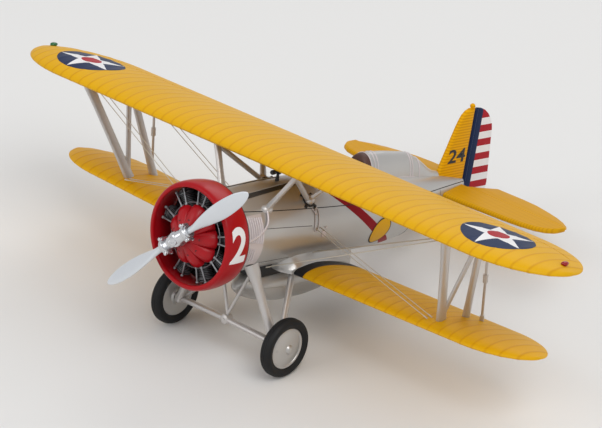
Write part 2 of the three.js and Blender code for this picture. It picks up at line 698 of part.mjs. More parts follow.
// Push-rod tubes, two to a cylinder, moulded on one ring.
function pushrodRing() {
  const { ringR, x, radius, lean } = pushrods;
  const hoop = turnedAboutX([[ringR + 0.3, x + 0.25], [ringR - 0.05, x + 0.25], [ringR - 0.05, x - 0.25],
    [ringR + 0.3, x - 0.25], [ringR + 0.3, x + 0.25]], 36);
  const tubes = [];
  for (let i = 0; i < engine.cylinders; i++) {
    for (const way of [-1, 1]) {
      const place = (r, degrees, dx) => vec(x + dx, r * Math.cos(radians(degrees)), r * Math.sin(radians(degrees)));
      const angle = cylinderAngle(i);
      tubes.push(rod(place(ringR, angle + way * lean * 0.8, 0), place(headR() - 0.4, angle + way * lean, -0.2), radius, radius, 6));
    }
  }
  return join(hoop, ...tubes);
}

// Nine-lobed nose case of the engine, bored for the propeller shaft.
function crankcaseCover() {
  const { rearX, frontX, outerR, frontR, lobe } = noseCase;
  const shape = [[0, 0.93, 1], [0.12, 1, 1], [0.4, 0.93, 1], [0.62, 0.74, 0.8], [0.8, 0.52, 0.4], [1, frontR / outerR, 0]];
  const rings = shape.map(([along, share, wave]) => {
    const x = THREE.MathUtils.lerp(rearX, frontX, along);
    return Array.from({ length: 36 }, (_, i) => {
      const angle = i * 2 * Math.PI / 36;
      const r = outerR * share * (1 + wave * lobe * Math.cos(engine.cylinders * (angle - Math.PI / 2)));
      return vec(x, r * Math.cos(angle), r * Math.sin(angle));
    });
  });
  const bore = rod(vec(rearX - 1, 0, 0), vec(frontX + 1, 0, 0), propeller.shaftR + gap, propeller.shaftR + gap, 12);
  return cut(loft(rings), bore);
}

// Propeller pieces are built about the shaft with the blades along Y.
function propellerShaft() {
  const { shaftR } = propeller;
  const rear = noseCase.rearX - gap - 1.9;
  const collar = rod(vec(noseCase.frontX + gap + 0.1, 0, 0), vec(noseCase.frontX + gap + 0.8, 0, 0), 1.7, 1.7, 12);
  return join(rod(vec(rear, 0, 0), vec(0.9, 0, 0), shaftR, shaftR, 12), collar);
}

// Two-piece steel hub with a bolted clamp at each blade root.
function propellerHub() {
  const { hubHalf, hubR, shaftR } = propeller;
  const barrel = rod(vec(0, -hubHalf, 0), vec(0, hubHalf, 0), hubR, hubR, 14);
  const boss = turnedAboutX([[0, -1.6], [2, -1.6], [2, 0.7], [1.3, 1.7], [0, 1.7]], 14);
  const clamps = [-1, 1].map((way) => {
    const y = way * (hubHalf - 1.1);
    const band = rod(vec(0, y - 0.6, 0), vec(0, y + 0.6, 0), hubR + 0.35, hubR + 0.35, 14);
    const bolts = [-1, 1].map((up) => rod(vec(-1.3, y, up * (hubR + 0.35)), vec(1.3, y, up * (hubR + 0.35)), 0.55, 0.55, 6));
    return join(band, ...bolts);
  });
  const bore = rod(vec(-3, 0, 0), vec(1.25, 0, 0), shaftR + gap, shaftR + gap, 12);
  const sockets = [-1, 1].map((way) => rod(vec(0, way * (hubHalf - 2.2), 0), vec(0, way * (hubHalf + 1), 0), bladeRootR + gap, bladeRootR + gap, 12));
  return cut(join(barrel, boss, ...clamps), bore, ...sockets);
}

const bladeRootR = 0.9;
// [share of the radius, share of the full chord, thickness, blade angle in degrees]
const bladeStations = [
  [0.12, 0, 0, 40], [0.22, 0, 0, 40], [0.3, 0.45, 1.5, 38], [0.4, 0.72, 1.25, 33], [0.55, 0.97, 0.95, 27],
  [0.7, 1, 0.75, 22], [0.84, 0.84, 0.6, 19], [0.93, 0.58, 0.5, 17], [0.98, 0.33, 0.45, 16], [1, 0.14, 0.4, 16],
];

// One blade along +Y: a round root in the hub, then a twisted oval whose front edge leads as the
// port blade rises.
function propellerBlade() {
  const radius = propeller.diameter / 2;
  const rings = bladeStations.map(([share, chordShare, thick, angle], i) => {
    const chord = i < 2 ? bladeRootR * 2 : propeller.bladeChord * chordShare;
    const depth = i < 2 ? bladeRootR * 2 : thick;
    const y = i === 0 ? propeller.hubHalf - 1.9 : radius * share;
    const tilt = -radians(angle);
    return ovalAngles(12).map((a) => {
      const [c, d] = [Math.cos(a) * chord / 2, Math.sin(a) * depth / 2];
      return vec(c * Math.sin(tilt) + d * Math.cos(tilt), y, -c * Math.cos(tilt) + d * Math.sin(tilt));
    });
  });
  return loft(rings);
}

// ---------------------------------------------------------------- undercarriage

const wheelSegments = 32;
const wheelY = mainWheel.track / 2;
// Distance from a faceted wheel's centre to the middle of its facets.
const facetReach = (radius, segments) => radius * Math.cos(Math.PI / segments);

// Wheel pieces are turned about their own axle, with a facet straight down and outboard along +Y.
function tyre() {
  const { tyreR, tyreWidth, discR } = mainWheel;
  const half = tyreWidth / 2;
  const inner = discR + gap;
  const profile = [[inner, -half * 0.72], [inner, half * 0.72], [inner + 0.6, half * 0.95], [tyreR - 0.85, half],
    [tyreR - 0.25, half * 0.72], [tyreR, half * 0.4], [tyreR, -half * 0.4], [tyreR - 0.25, -half * 0.72],
    [tyreR - 0.85, -half], [inner + 0.6, -half * 0.95], [inner, -half * 0.72]];
  return turned(profile, wheelSegments, Math.PI / wheelSegments);
}

function wheelDisc() {
  const { tyreWidth, discR, axleR } = mainWheel;
  const half = tyreWidth / 2;
  const bore = axleR + gap;
  const profile = [[bore, -half * 0.9], [1.9, -half * 0.9], [2.2, -half * 0.5], [discR, -half * 0.55], [discR, half * 0.55],
    [discR - 0.7, half * 0.62], [discR * 0.5, half * 0.95], [1.1, half * 1.06], [0.7, half * 1.3], [0, half * 1.36],
    [0, half * 0.3], [bore, half * 0.3], [bore, -half * 0.9]];
  return turned(profile.slice(0, 10).concat([[0, half * 0.3], [bore, half * 0.3], [bore, -half * 0.9]]), wheelSegments);
}

const axleCentre = (y) => vec(mainWheel.x, y, mainWheel.z);
const inboardFace = wheelY - mainWheel.tyreWidth / 2 * 0.9;

// Front and rear legs that meet at the stub axle.
function gearLegs(side) {
  const joint = axleCentre(gearLeg.jointY);
  const legEnd = (way) => joint.clone().add(vec(way * 0.8, 0, 0));
  const front = strut(skinAt(gearLeg.frontX, gearLeg.frontAngle, -0.4), legEnd(1), 3.3, 2.1, 2.8, 1.7);
  const collar = strut(skinAt(gearLeg.frontX, gearLeg.frontAngle, -0.4),
    skinAt(gearLeg.frontX, gearLeg.frontAngle, -0.4).lerp(joint, 0.16), 4.6, 2.5, 3.3, 2.1);
  const rear = strut(lowerEnd(gearLeg.rearTop), legEnd(-1), 1.9, 1.4);
  const block = rod(axleCentre(gearLeg.jointY - 0.9), axleCentre(inboardFace - gap), 1.35, 1.35, 12);
  const stub = rod(axleCentre(gearLeg.jointY), axleCentre(wheelY + mainWheel.tyreWidth / 2 * 0.3 - gap), mainWheel.axleR, mainWheel.axleR, 12);
  return forSide(cut(join(front, collar, rear, block, stub), skinClearance, lowerClearance), side);
}

const spreader = { centreX: -24.2, centreZ: -25.6, chord: 2, thickness: 1.2, jointR: 1.2 };

// Cross bar between the legs, raised a little at its centre joint.
function spreaderBar() {
  const end = gearLeg.jointY - 0.9 - gap;
  const centre = vec(spreader.centreX, 0, spreader.centreZ);
  const bars = [-1, 1].map((way) => strut(axleCentre(way * end), centre, spreader.chord, spreader.thickness));
  return join(...bars, rod(centre.clone().setX(centre.x - 1.3), centre.clone().setX(centre.x + 1.3), spreader.jointR, spreader.jointR, 8));
}

const brace = { topX: -24.6, topAngle: -55, radius: 0.5 };

// V brace from the centre joint of the cross bar to the belly.
function centreBrace() {
  const foot = vec(spreader.centreX, 0, spreader.centreZ + spreader.jointR + gap + 0.55);
  const legs = [1, -1].map((side) => {
    const top = skinAt(brace.topX, brace.topAngle, -0.4);
    return rod(foot, vec(top.x, side * top.y, top.z), brace.radius, brace.radius * 0.9);
  });
  return cut(join(...legs, ball(foot, 0.75, [1, 1, 0.7], 8)), skinClearance, bellyTankForm(gap));
}

// [share of the length, share of the radius]
const tankShares = [[0, 0], [0.015, 0.2], [0.06, 0.45], [0.15, 0.72], [0.26, 0.92], [0.38, 1], [0.55, 0.98],
  [0.7, 0.84], [0.83, 0.58], [0.93, 0.28], [0.985, 0.1], [1, 0]];

function bellyTankForm(clearance) {
  const profile = tankShares.map(([along, share]) => [
    share * (tank.halfWidth + clearance),
    tank.frontX + clearance - along * (tank.length + 2 * clearance)]);
  const form = turnedAboutX(profile, 24);
  const squash = (tank.halfDepth + clearance) / (tank.halfWidth + clearance);
  return form.scale([1, 1, squash]).translate([0, 0, tank.centreZ]);
}

const bellyTank = () => cut(bellyTankForm(0), skinClearance, lowerClearance, mirrored(lowerClearance));

// ---------------------------------------------------------------- tail

const point = (x, y) => new THREE.Vector2(x, y);

// Half outline of the tailplane and elevator together, leading edge first.
function tailOutline(fromX, toX) {
  const { halfSpan } = tailplane;
  const leadX = tailplaneLeadX;
  const shape = new THREE.Shape();
  shape.moveTo(leadX, 0);
  shape.lineTo(leadX - 1.6, 20);
  shape.bezierCurveTo(leadX - 2.3, 29, leadX - 5.2, halfSpan, leadX - 12, halfSpan);
  shape.bezierCurveTo(leadX - 17, halfSpan - 0.6, elevatorTrailX, halfSpan - 13, elevatorTrailX, 17);
  shape.lineTo(elevatorTrailX, 0);
  return clipOutline(shape.getPoints(9), fromX, toX);
}

// Keeps the part of a closed outline between two X values.
function clipOutline(points, fromX, toX) {
  const keep = (list, inside, edgeX) => {
    const result = [];
    list.forEach((a, i) => {
      const b = list[(i + 1) % list.length];
      if (inside(a)) result.push(a);
      if (inside(a) !== inside(b)) {
        const t = (edgeX - a.x) / (b.x - a.x);
        result.push(point(edgeX, THREE.MathUtils.lerp(a.y, b.y, t)));
      }
    });
    return result;
  };
  const ahead = keep(points, (p) => p.x <= fromX, fromX);
  return keep(ahead, (p) => p.x >= toX, toX);
}

function tailplaneHalf(side) {
  const outline = tailOutline(farAway, elevatorHingeX + gap / 2 + elevator.tubeR);
  const form = plate(outline, tailplane.thickness, 0.4).translate([0, 0, tailplane.z]);
  return forSide(cut(form, skinClearance), side);
}

// Elevator with a round nose on the torque tube and its inner corner cut back for the rudder.
function elevatorHalf(side) {
  const { z, thickness } = tailplane;
  const hingeX = elevatorHingeX;
  const outline = tailOutline(hingeX - gap / 2 - elevator.tubeR * 0.4, -farAway * 4);
  const form = plate(outline, thickness * 0.8, 0.35);
  const swing = solid(new THREE.ExtrudeGeometry(new THREE.Shape([
    point(hingeX + farAway, -farAway), point(hingeX + farAway, elevator.swingClearance),
    point(hingeX, elevator.swingClearance), point(elevatorTrailX - 3, elevator.swingClearance + 7.6),
    point(elevatorTrailX - 3, -farAway),
  ]), { depth: 8, bevelEnabled: false })).translate([0, 0, -4]);
  const tip = tailOutline(farAway, -farAway * 4).filter((p) => p.x < hingeX + 2).reduce((most, p) => Math.max(most, p.y), 0);
  const nose = rod(vec(hingeX, elevator.swingClearance, 0), vec(hingeX, tip - 1.5, 0), elevator.tubeR, elevator.tubeR * 0.8, 10);
  const socket = rod(vec(hingeX, 0, 0), vec(hingeX, elevator.swingClearance + 1.6, 0), elevator.tubeR * 0.45 + gap / 3, elevator.tubeR * 0.45 + gap / 3, 8);
  return forSide(cut(join(form.subtract(swing), nose), socket).translate([0, 0, z]), side);
}

// Torque tube that joins the two elevators through the tail.
function elevatorTube() {
  const end = elevator.swingClearance - gap;
  return rod(vec(elevatorHingeX, -end, tailplane.z), vec(elevatorHingeX, end, tailplane.z), elevator.tubeR, elevator.tubeR, 10);
}

// Upright outlines are drawn with X along the fuselage and the second value as height.
const upright = (outline, thickness, chamfer) => plate(outline, thickness, chamfer).rotate([90, 0, 0]);

function finPlate() {
  const rear = rudderHingeX + gap + rudder.thickness / 2;
  const shape = new THREE.Shape();
  shape.moveTo(finBaseX + 0.6, 3);
  shape.lineTo(finBaseX - 5, 17.2);
  shape.bezierCurveTo(finBaseX - 6, 19.7, finBaseX - 7.4, fin.topZ - 0.4, rear, fin.topZ);
  shape.lineTo(rear, -0.5);
  const form = upright(shape.getPoints(8), fin.thickness, 0.4);
  const ballCentre = vec(rear + fin.ballR, 0, fin.topZ + fin.ballR * 0.6);
  return cut(join(form, ball(ballCentre, fin.ballR, [1, 1, 1.1], 8)), skinClearance, headrestHump());
}

// Balanced rudder with a round leading edge on the hinge line.
function rudderPlate() {
  const { topZ, bottomZ, thickness } = rudder;
  const [hingeX, trailX] = [rudderHingeX, rudderTrailX];
  const shape = new THREE.Shape();
  shape.moveTo(hingeX, bottomZ + 1.5);
  shape.lineTo(hingeX, topZ);
  shape.bezierCurveTo(hingeX - 4, topZ + 0.2, trailX + 2.6, topZ - 3.4, trailX + 2.1, 15);
  shape.lineTo(trailX, -1);
  shape.bezierCurveTo(trailX, bottomZ + 2, trailX + 4, bottomZ, hingeX - 1.5, bottomZ);
  const form = upright(shape.getPoints(8), thickness * 0.85, 0.35);
  const post = rod(vec(hingeX, 0, bottomZ + 1.2), vec(hingeX, 0, topZ - 0.2), thickness / 2, thickness / 2, 12);
  return join(form, post);
}

const tailSegments = 16;
const tailWheelCentre = vec(fuselageEnd + tailWheel.axleAhead, 0, tailWheel.z);

// Nose-up angle, in degrees, at which the main wheels and the tail wheel share one flat ground.
function groundAngle() {
  const drop = facetReach(mainWheel.tyreR, wheelSegments) - facetReach(tailWheel.radius, tailSegments);
  const [dx, dz] = [mainWheel.x - tailWheelCentre.x, mainWheel.z - tailWheelCentre.z];
  return THREE.MathUtils.radToDeg(Math.asin(drop / Math.hypot(dx, dz)) - Math.atan2(dz, dx));
}

const sitAngle = groundAngle();

function tailWheelTyre() {
  const { radius, width, pinR } = tailWheel;
  const half = width / 2;
  const bore = pinR + gap;
  return turned([[bore, -half], [radius * 0.75, -half], [radius, -half * 0.45], [radius, half * 0.45],
    [radius * 0.75, half], [bore, half], [bore, -half]], tailSegments, Math.PI / tailSegments);
}

const spindleX = fuselageEnd + tailWheel.spindleAhead;
const forkTop = () => skinAt(spindleX, -90, gap);

// Swivelling fork: a spindle, two arms and the wheel pin.
function tailFork() {
  const { width, pinR } = tailWheel;
  const reach = width / 2 + gap;
  const top = forkTop();
  const bridgeZ = tailWheelCentre.z + tailWheel.radius + gap + 0.5;
  const spindle = rod(vec(spindleX, 0, top.z - 0.2), vec(spindleX, 0, bridgeZ), 0.8, 0.8, 10);
  const bridge = box(spindleX - 0.8, spindleX + 0.8, -reach - 0.5, reach + 0.5, bridgeZ - 0.4, bridgeZ + 0.4);
  const arms = [-1, 1].map((way) => strut(vec(spindleX, way * (reach + 0.25), bridgeZ),
    tailWheelCentre.clone().setY(way * (reach + 0.25)), 1.2, 0.5));
  const pin = rod(tailWheelCentre.clone().setY(-reach - 0.5), tailWheelCentre.clone().setY(reach + 0.5), pinR, pinR, 8);
  return join(spindle, bridge, ...arms, pin);
}

// Teardrop lamp on the upper face of the wing tip.
function navigationLight(side) {
  const x = upper.leadX - navLight.behindLead;
  const y = upper.span / 2 - navLight.inFromTip;
  const ring = wingRing(upper, y, navLight.inFromTip, 0);
  const top = ring.slice(0, (ring.length + 1) / 2).reduce((near, p) => (
    Math.abs(p.x - x) < Math.abs(near.x - x) ? p : near));
  const lamp = ball(vec(x, y, top.z + 0.1), navLight.radius, [navLight.length / 2 / navLight.radius, 1, 1], 10);
  return forSide(cut(lamp, upperClearance), side);
}

// ---------------------------------------------------------------- finishes and assembly

const finish = (color, roughness, metalness) => new THREE.MeshStandardMaterial({ color, roughness, metalness });
const yellow = () => finish('#e2a81e', 0.35, 0);
const silver = () => finish('#b9bbbd', 0.4, 0.5);
const steel = () => finish('#c9cbd0', 0.3, 0.8);
const blackPlastic = () => finish('#1a1a1c', 0.5, 0);
const red = () => finish('#a3161c', 0.3, 0);
const rubber = () => finish('#161616', 0.75, 0);

const airframe = new THREE.Group();
airframe.rotation.y = -radians(sitAngle);

function add(name, body, material, parent = airframe) {
  const mesh = new THREE.Mesh(geometryOf(body), material);
  mesh.name = name;
  parent.add(mesh);
  return mesh;
}

add('fuselage_shell', fuselageShell(), silver());
add('forward_deck', forwardDeck(), silver());
add('headrest_deck', headrestDeck(), silver());
add('firewall', firewall(), blackPlastic());
add('gunsight', gunsight(), blackPlastic());
add('windscreen', windscreen(), finish('#dfe8ea', 0.05, 0));
add('cockpit_tub', cockpitTub(), finish('#6d7468', 0.6, 0));
add('pilot_seat', pilotSeat(), finish('#8c8f90', 0.5, 0.3));
add('control_stick', controlStick(), blackPlastic());
add('instrument_panel', instrumentPanel(), blackPlastic());
add('headrest_pad', headrestPad(), finish('#5a4030', 0.7, 0));
add('upper_wing', upperWing(), yellow());

for (const [name, side] of sides) {
  add(`lower_wing_${name}`, lowerWing(side), yellow());
  add(`root_fairing_${name}`, rootFairing(side), silver());
  add(`louvre_panel_${name}`, louvrePanel(side), silver());
  add(`interplane_strut_${name}`, interplaneStrut(side), silver());
  add(`aileron_pushrod_${name}`, aileronPushrod(side), steel());
  add(`cabane_strut_${name}`, cabaneStrut(side), silver());
  add(`flying_wires_front_${name}`, flyingWires(rigging.flyingFront, side), steel());
  add(`flying_wires_rear_${name}`, flyingWires(rigging.flyingRear, side), steel());
  add(`landing_wires_${name}`, landingWires(rigging.landing, side), steel());
  add(`navigation_light_${name}`, navigationLight(side), finish(side > 0 ? '#a51c1c' : '#1c7a3c', 0.15, 0));
  add(`gear_legs_${name}`, gearLegs(side), silver());
  add(`tailplane_${name}`, tailplaneHalf(side), yellow());
  add(`elevator_${name}`, elevatorHalf(side), yellow());

  const wheel = new THREE.Group();
  wheel.position.set(mainWheel.x, side * wheelY, mainWheel.z);
  wheel.rotation.y = radians(sitAngle);
  airframe.add(wheel);
  add(`tyre_${name}`, tyre(), rubber(), wheel);
  add(`wheel_disc_${name}`, forSide(wheelDisc(), side), silver(), wheel);
}

add('ring_cowl', ringCowl(), red());
add('engine_block', engineBlock(), blackPlastic());
add('pushrod_ring', pushrodRing(), steel());
add('crankcase_cover', crankcaseCover(), red());

const spinning = new THREE.Group();
spinning.rotation.x = radians(propeller.restAngle);
airframe.add(spinning);
add('propeller_shaft', propellerShaft(), steel(), spinning);
add('propeller_hub', propellerHub(), steel(), spinning);
add('propeller_blade_left', propellerBlade(), steel(), spinning);
add('propeller_blade_right', propellerBlade(), steel(), spinning).rotation.x = Math.PI;

add('spreader_bar', spreaderBar(), silver());
add('centre_brace', centreBrace(), silver());
add('belly_tank', bellyTank(), silver());

add('fin', finPlate(), yellow());
add('rudder', rudderPlate(), finish('#b8262c', 0.35, 0));
add('elevator_tube', elevatorTube(), steel());
add('tail_fork', tailFork(), silver());
const tailTyre = add('tail_wheel', tailWheelTyre(), rubber());
tailTyre.position.copy(tailWheelCentre);
tailTyre.rotation.y = radians(sitAngle);

// Stand the model on the ground with its bounding box centred on the origin.
const model = new THREE.Group();
model.add(airframe);
model.updateMatrixWorld(true);
const bounds = new THREE.Box3().setFromObject(model, true);
airframe.position.set(-(bounds.min.x + bounds.max.x) / 2, -(bounds.min.y + bounds.max.y) / 2, -bounds.min.z);

export default model;
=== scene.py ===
"""Finished look of a 1:48 display model of a single-seat naval biplane, built round its CAD frame.

Sizes are millimetres in the airframe's own axes: origin at the propeller hub, X to the nose,
Y to port and Z up. `Datum` carries a finished mesh from there to the shared frame, in metres.
"""

from __future__ import annotations

import json
import logging
import math
from collections.abc import Callable, Iterable, Sequence
from dataclasses import dataclass
from enum import Enum
from itertools import pairwise

import bmesh
import bpy
from bmesh.types import BMesh
from mathutils import Matrix, Vector

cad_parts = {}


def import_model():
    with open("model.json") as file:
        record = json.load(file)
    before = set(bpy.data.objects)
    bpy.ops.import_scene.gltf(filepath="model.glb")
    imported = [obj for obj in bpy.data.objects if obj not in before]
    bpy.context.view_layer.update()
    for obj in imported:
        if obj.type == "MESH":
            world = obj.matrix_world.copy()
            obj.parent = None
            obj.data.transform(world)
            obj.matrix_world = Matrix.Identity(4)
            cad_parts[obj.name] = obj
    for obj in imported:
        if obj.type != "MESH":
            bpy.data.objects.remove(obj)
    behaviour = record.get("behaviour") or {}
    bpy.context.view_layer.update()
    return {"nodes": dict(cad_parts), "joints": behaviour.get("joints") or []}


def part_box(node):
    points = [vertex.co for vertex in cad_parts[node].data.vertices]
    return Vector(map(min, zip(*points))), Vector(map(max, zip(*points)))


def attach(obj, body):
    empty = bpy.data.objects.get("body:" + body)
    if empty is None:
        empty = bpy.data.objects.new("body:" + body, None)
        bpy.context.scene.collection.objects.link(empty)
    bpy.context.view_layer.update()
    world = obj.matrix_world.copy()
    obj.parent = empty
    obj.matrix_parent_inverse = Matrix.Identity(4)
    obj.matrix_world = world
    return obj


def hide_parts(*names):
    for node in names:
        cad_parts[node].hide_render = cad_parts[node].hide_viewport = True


LOG = logging.getLogger("biplane")
MM = 0.001
TURN = 2 * math.pi


class Side(Enum):
    """Side of the model, with the sign of its places across."""

    LEFT = 1
    RIGHT = -1


SIDES = {side.name.lower(): side.value for side in Side}


# ---- colours and nodes


def linear(hex_colour: str) -> tuple[float, float, float, float]:
    """Turns an sRGB hex colour into a linear one.

    Args:
        hex_colour: colour written as #RRGGBB.

    Returns:
        Linear red, green and blue with full opacity.
    """
    channels = [int(hex_colour[i : i + 2], 16) / 255 for i in (1, 3, 5)]
    red, green, blue = (c / 12.92 if c <= 0.04045 else ((c + 0.055) / 1.055) ** 2.4 for c in channels)
    return red, green, blue, 1.0


def add_node(
    tree: bpy.types.NodeTree, kind: str, links: dict | None = None, **settings: object
) -> bpy.types.Node:
    """Adds a node with its settings and links.

    Args:
        tree: node tree that gets the node.
        kind: type name of the node.
        links: value or output socket for each input, by name or number.
        **settings: properties of the node itself.

    Returns:
        The new node.
    """
    node = tree.nodes.new(kind)
    for name, value in settings.items():
        setattr(node, name, value)
    for key, value in (links or {}).items():
        if isinstance(value, bpy.types.NodeSocket):
            tree.links.new(value, node.inputs[key])
        else:
            node.inputs[key].default_value = value
    return node


# ---- finishes


@dataclass(frozen=True)
class Finish:
    """Surface finish of one real material.

    Attributes:
        name: common name of the material and how its surface is made.
        colour: sRGB hex colour.
        roughness: roughness of the surface.
        metallic: share of metal.
        coat: weight of the clear coat.
        gloss: specular level of the surface, 0.5 being plain varnish.
        mottle: how far the colour drifts, as a share of its brightness.
        mottle_mm: size of one drift of colour.
        grain_mm: size of the finest bump.
        grain_depth: height of the finest bump, in millimetres.
    """

    name: str
    colour: str
    roughness: float = 0.4
    metallic: float = 0.0
    coat: float = 0.0
    gloss: float = 0.5
    mottle: float = 0.06
    mottle_mm: float = 9.0
    grain_mm: float = 0.35
    grain_depth: float = 0.006

    def material(self) -> bpy.types.Material:
        """Gives the material of this finish, which is made once."""
        known = bpy.data.materials.get(self.name)
        if known is not None:
            return known
        material = bpy.data.materials.new(self.name)
        material.use_nodes = True
        tree = material.node_tree
        shader = tree.nodes["Principled BSDF"]
        shader.inputs["Metallic"].default_value = self.metallic
        shader.inputs["Coat Weight"].default_value = self.coat
        shader.inputs["Specular IOR Level"].default_value = self.gloss
        shader.inputs["Coat Roughness"].default_value = 0.12
        self.dress(tree, shader)
        return material

    def dress(self, tree: bpy.types.NodeTree, shader: bpy.types.Node) -> None:
        """Wires colour, roughness and grain.

        Args:
            tree: node tree of the material.
            shader: its main shader.
        """
        place = add_node(tree, "ShaderNodeTexCoord").outputs["Object"]
        tree.links.new(self.tone(tree, place), shader.inputs["Base Color"])
        tree.links.new(self.sheen(tree, place), shader.inputs["Roughness"])
        tree.links.new(self.relief(tree, place), shader.inputs["Normal"])

    def tone(self, tree: bpy.types.NodeTree, place: bpy.types.NodeSocket) -> bpy.types.NodeSocket:
        """Wires the colour, which drifts a little in broad patches.

        Args:
            tree: node tree of the material.
            place: object coordinates.

        Returns:
            Colour socket.
        """
        drift = add_node(
            tree, "ShaderNodeTexNoise", {"Vector": place, "Scale": 1 / (self.mottle_mm * MM), "Detail": 3.0}
        )
        base = Vector(linear(self.colour)[:3])
        dark, light = base * (1 - self.mottle), base * (1 + self.mottle)
        mix = add_node(
            tree, "ShaderNodeMix", {0: drift.outputs["Fac"], 6: (*dark, 1), 7: (*light, 1)}, data_type="RGBA"
        )
        return mix.outputs[2]

    def sheen(self, tree: bpy.types.NodeTree, place: bpy.types.NodeSocket) -> bpy.types.NodeSocket:
        """Wires the roughness, which varies where the surface has been handled.

        Args:
            tree: node tree of the material.
            place: object coordinates.

        Returns:
            Roughness socket.
        """
        smear = add_node(
            tree, "ShaderNodeTexNoise", {"Vector": place, "Scale": 0.4 / (self.mottle_mm * MM), "Detail": 4.0}
        )
        low, high = self.roughness * 0.82, min(1.0, self.roughness * 1.18)
        limits = {"Value": smear.outputs["Fac"], "To Min": low, "To Max": high}
        return add_node(tree, "ShaderNodeMapRange", limits).outputs["Result"]

    def relief(self, tree: bpy.types.NodeTree, place: bpy.types.NodeSocket) -> bpy.types.NodeSocket:
        """Wires the finest bump.

        Args:
            tree: node tree of the material.
            place: object coordinates.

        Returns:
            Normal socket.
        """
        grain = add_node(
            tree, "ShaderNodeTexNoise", {"Vector": place, "Scale": 1 / (self.grain_mm * MM), "Detail": 2.0}
        )
        bump = add_node(
            tree,
            "ShaderNodeBump",
            {"Height": grain.outputs["Fac"], "Distance": self.grain_depth * MM, "Strength": 0.5},
        )
        return bump.outputs["Normal"]


@dataclass(frozen=True)
class RibShadedEnamel(Finish):
    """Gloss enamel with painted shade: dark lines beside evenly spaced ribs, where the ribs' shadows fall.

    Attributes:
        rib_shade: sRGB hex colour of the painted shade beside the ribs.
        pitch: spacing of the ribs.
        width: half width of a line of painted shade.
        axis: object axis across the ribs, X, Y or Z.
        tilt: turn of the pattern about Y, in degrees.
        depth: how strongly the painted shade shows.
    """

    # Colour of the painted shade beside the ribs.
    rib_shade: str = "#A8690E"
    pitch: float = 3.5
    width: float = 0.5
    axis: str = "Y"
    tilt: float = 0.0
    depth: float = 0.6

    def tone(self, tree: bpy.types.NodeTree, place: bpy.types.NodeSocket) -> bpy.types.NodeSocket:
        """Wires the colour with its lines of painted shade.

        Args:
            tree: node tree of the material.
            place: object coordinates.

        Returns:
            Colour socket.
        """
        plain = super().tone(tree, place)
        turned = add_node(
            tree, "ShaderNodeMapping", {"Vector": place, "Rotation": (0, math.radians(self.tilt), 0)}
        )
        axes = add_node(tree, "ShaderNodeSeparateXYZ", {0: turned.outputs["Vector"]})
        ribs = {0: axes.outputs[self.axis], 1: 1 / (self.pitch * MM), 2: 0.5}
        along = add_node(tree, "ShaderNodeMath", ribs, operation="MULTIPLY_ADD")
        cell = add_node(tree, "ShaderNodeMath", {0: along.outputs[0], 1: 1.0, 2: 0.0}, operation="WRAP")
        offset = add_node(tree, "ShaderNodeMath", {0: cell.outputs[0], 1: 0.5}, operation="SUBTRACT")
        away = add_node(tree, "ShaderNodeMath", {0: offset.outputs[0]}, operation="ABSOLUTE")
        line = add_node(
            tree,
            "ShaderNodeMapRange",
            {
                "Value": away.outputs[0],
                "From Min": 0.0,
                "From Max": self.width / self.pitch,
                "To Min": self.depth,
                "To Max": 0.0,
            },
            interpolation_type="SMOOTHSTEP",
        )
        # Painted shade: along each rib line the colour is mixed towards the shade colour.
        colours = {0: line.outputs["Result"], 6: plain, 7: linear(self.rib_shade)}
        mix = add_node(tree, "ShaderNodeMix", colours, data_type="RGBA")
        return mix.outputs[2]


@dataclass(frozen=True)
class ClearMoulding(Finish):
    """Clear or tinted moulding that light passes through.

    Attributes:
        clearness: share of light let through.
    """

    clearness: float = 1.0

    def dress(self, tree: bpy.types.NodeTree, shader: bpy.types.Node) -> None:
        """Wires the finish and lets light through.

        Args:
            tree: node tree of the material.
            shader: its main shader.
        """
        super().dress(tree, shader)
        shader.inputs["Transmission Weight"].default_value = self.clearness
        shader.inputs["IOR"].default_value = 1.49


# Chrome-yellow gloss enamel over a moulded wing: a wet sheen, with painted shade in dark lines at the ribs.
WING_ENAMEL = RibShadedEnamel(
    "gloss_enamel_wing_yellow", "#D9A40A", 0.42, gloss=0.13, mottle=0.05, mottle_mm=26,
    rib_shade="#B87508", pitch=3.5, width=0.5, depth=0.42,
)
# The same enamel on corrugated tail skins, whose ridges run fore and aft, with painted shade in dark lines
# beside them.
TAIL_ENAMEL = RibShadedEnamel(
    "gloss_enamel_tail_yellow", "#D29A06", 0.44, gloss=0.08, mottle=0.05, mottle_mm=18,
    rib_shade="#A86A08", pitch=0.8, width=0.26, depth=0.4,
)
# The same enamel on the fin, whose ridges are level with the airframe, with painted shade in dark lines
# beside them.
FIN_ENAMEL = RibShadedEnamel(
    "gloss_enamel_fin_yellow", "#E0A206", 0.44, gloss=0.06, mottle=0.05, mottle_mm=18,
    rib_shade="#A86A08", pitch=0.8, width=0.28, depth=0.5, axis="Z", tilt=13.4,
)
# The same enamel on a smooth disc, without ribs.
PLAIN_YELLOW = Finish("gloss_enamel_plain_yellow", "#DCA40A", 0.42, gloss=0.12, mottle=0.05)
# Aluminium-pigmented lacquer on die-cast metal: fine flake gives a soft grey gleam.
SILVER_LACQUER = Finish(
    "aluminium_lacquer_on_die_casting", "#BDBBB8", 0.34, metallic=0.62, coat=0.12, mottle=0.07,
    mottle_mm=14, grain_mm=0.22, grain_depth=0.004,
)
# The same lacquer, brighter on drawn struts.
STRUT_LACQUER = Finish(
    "aluminium_lacquer_on_struts", "#C3BFBC", 0.36, metallic=0.5, coat=0.1, mottle=0.08, mottle_mm=6,
    grain_mm=0.2, grain_depth=0.004,
)
# The same lacquer sprayed pale over the louvres, pipes, straps and handholds.
PALE_LACQUER = Finish(
    "aluminium_lacquer_pale", "#CFC6C6", 0.42, metallic=0.35, mottle=0.05, mottle_mm=5, grain_mm=0.18,
)
# Polished aluminium propeller: bright, with faint marks of polishing.
POLISHED_ALUMINIUM = Finish(
    "polished_aluminium_satin", "#D9DDE2", 0.3, metallic=0.55, coat=0.2, mottle=0.04, mottle_mm=7,
    grain_mm=0.15, grain_depth=0.003,
)
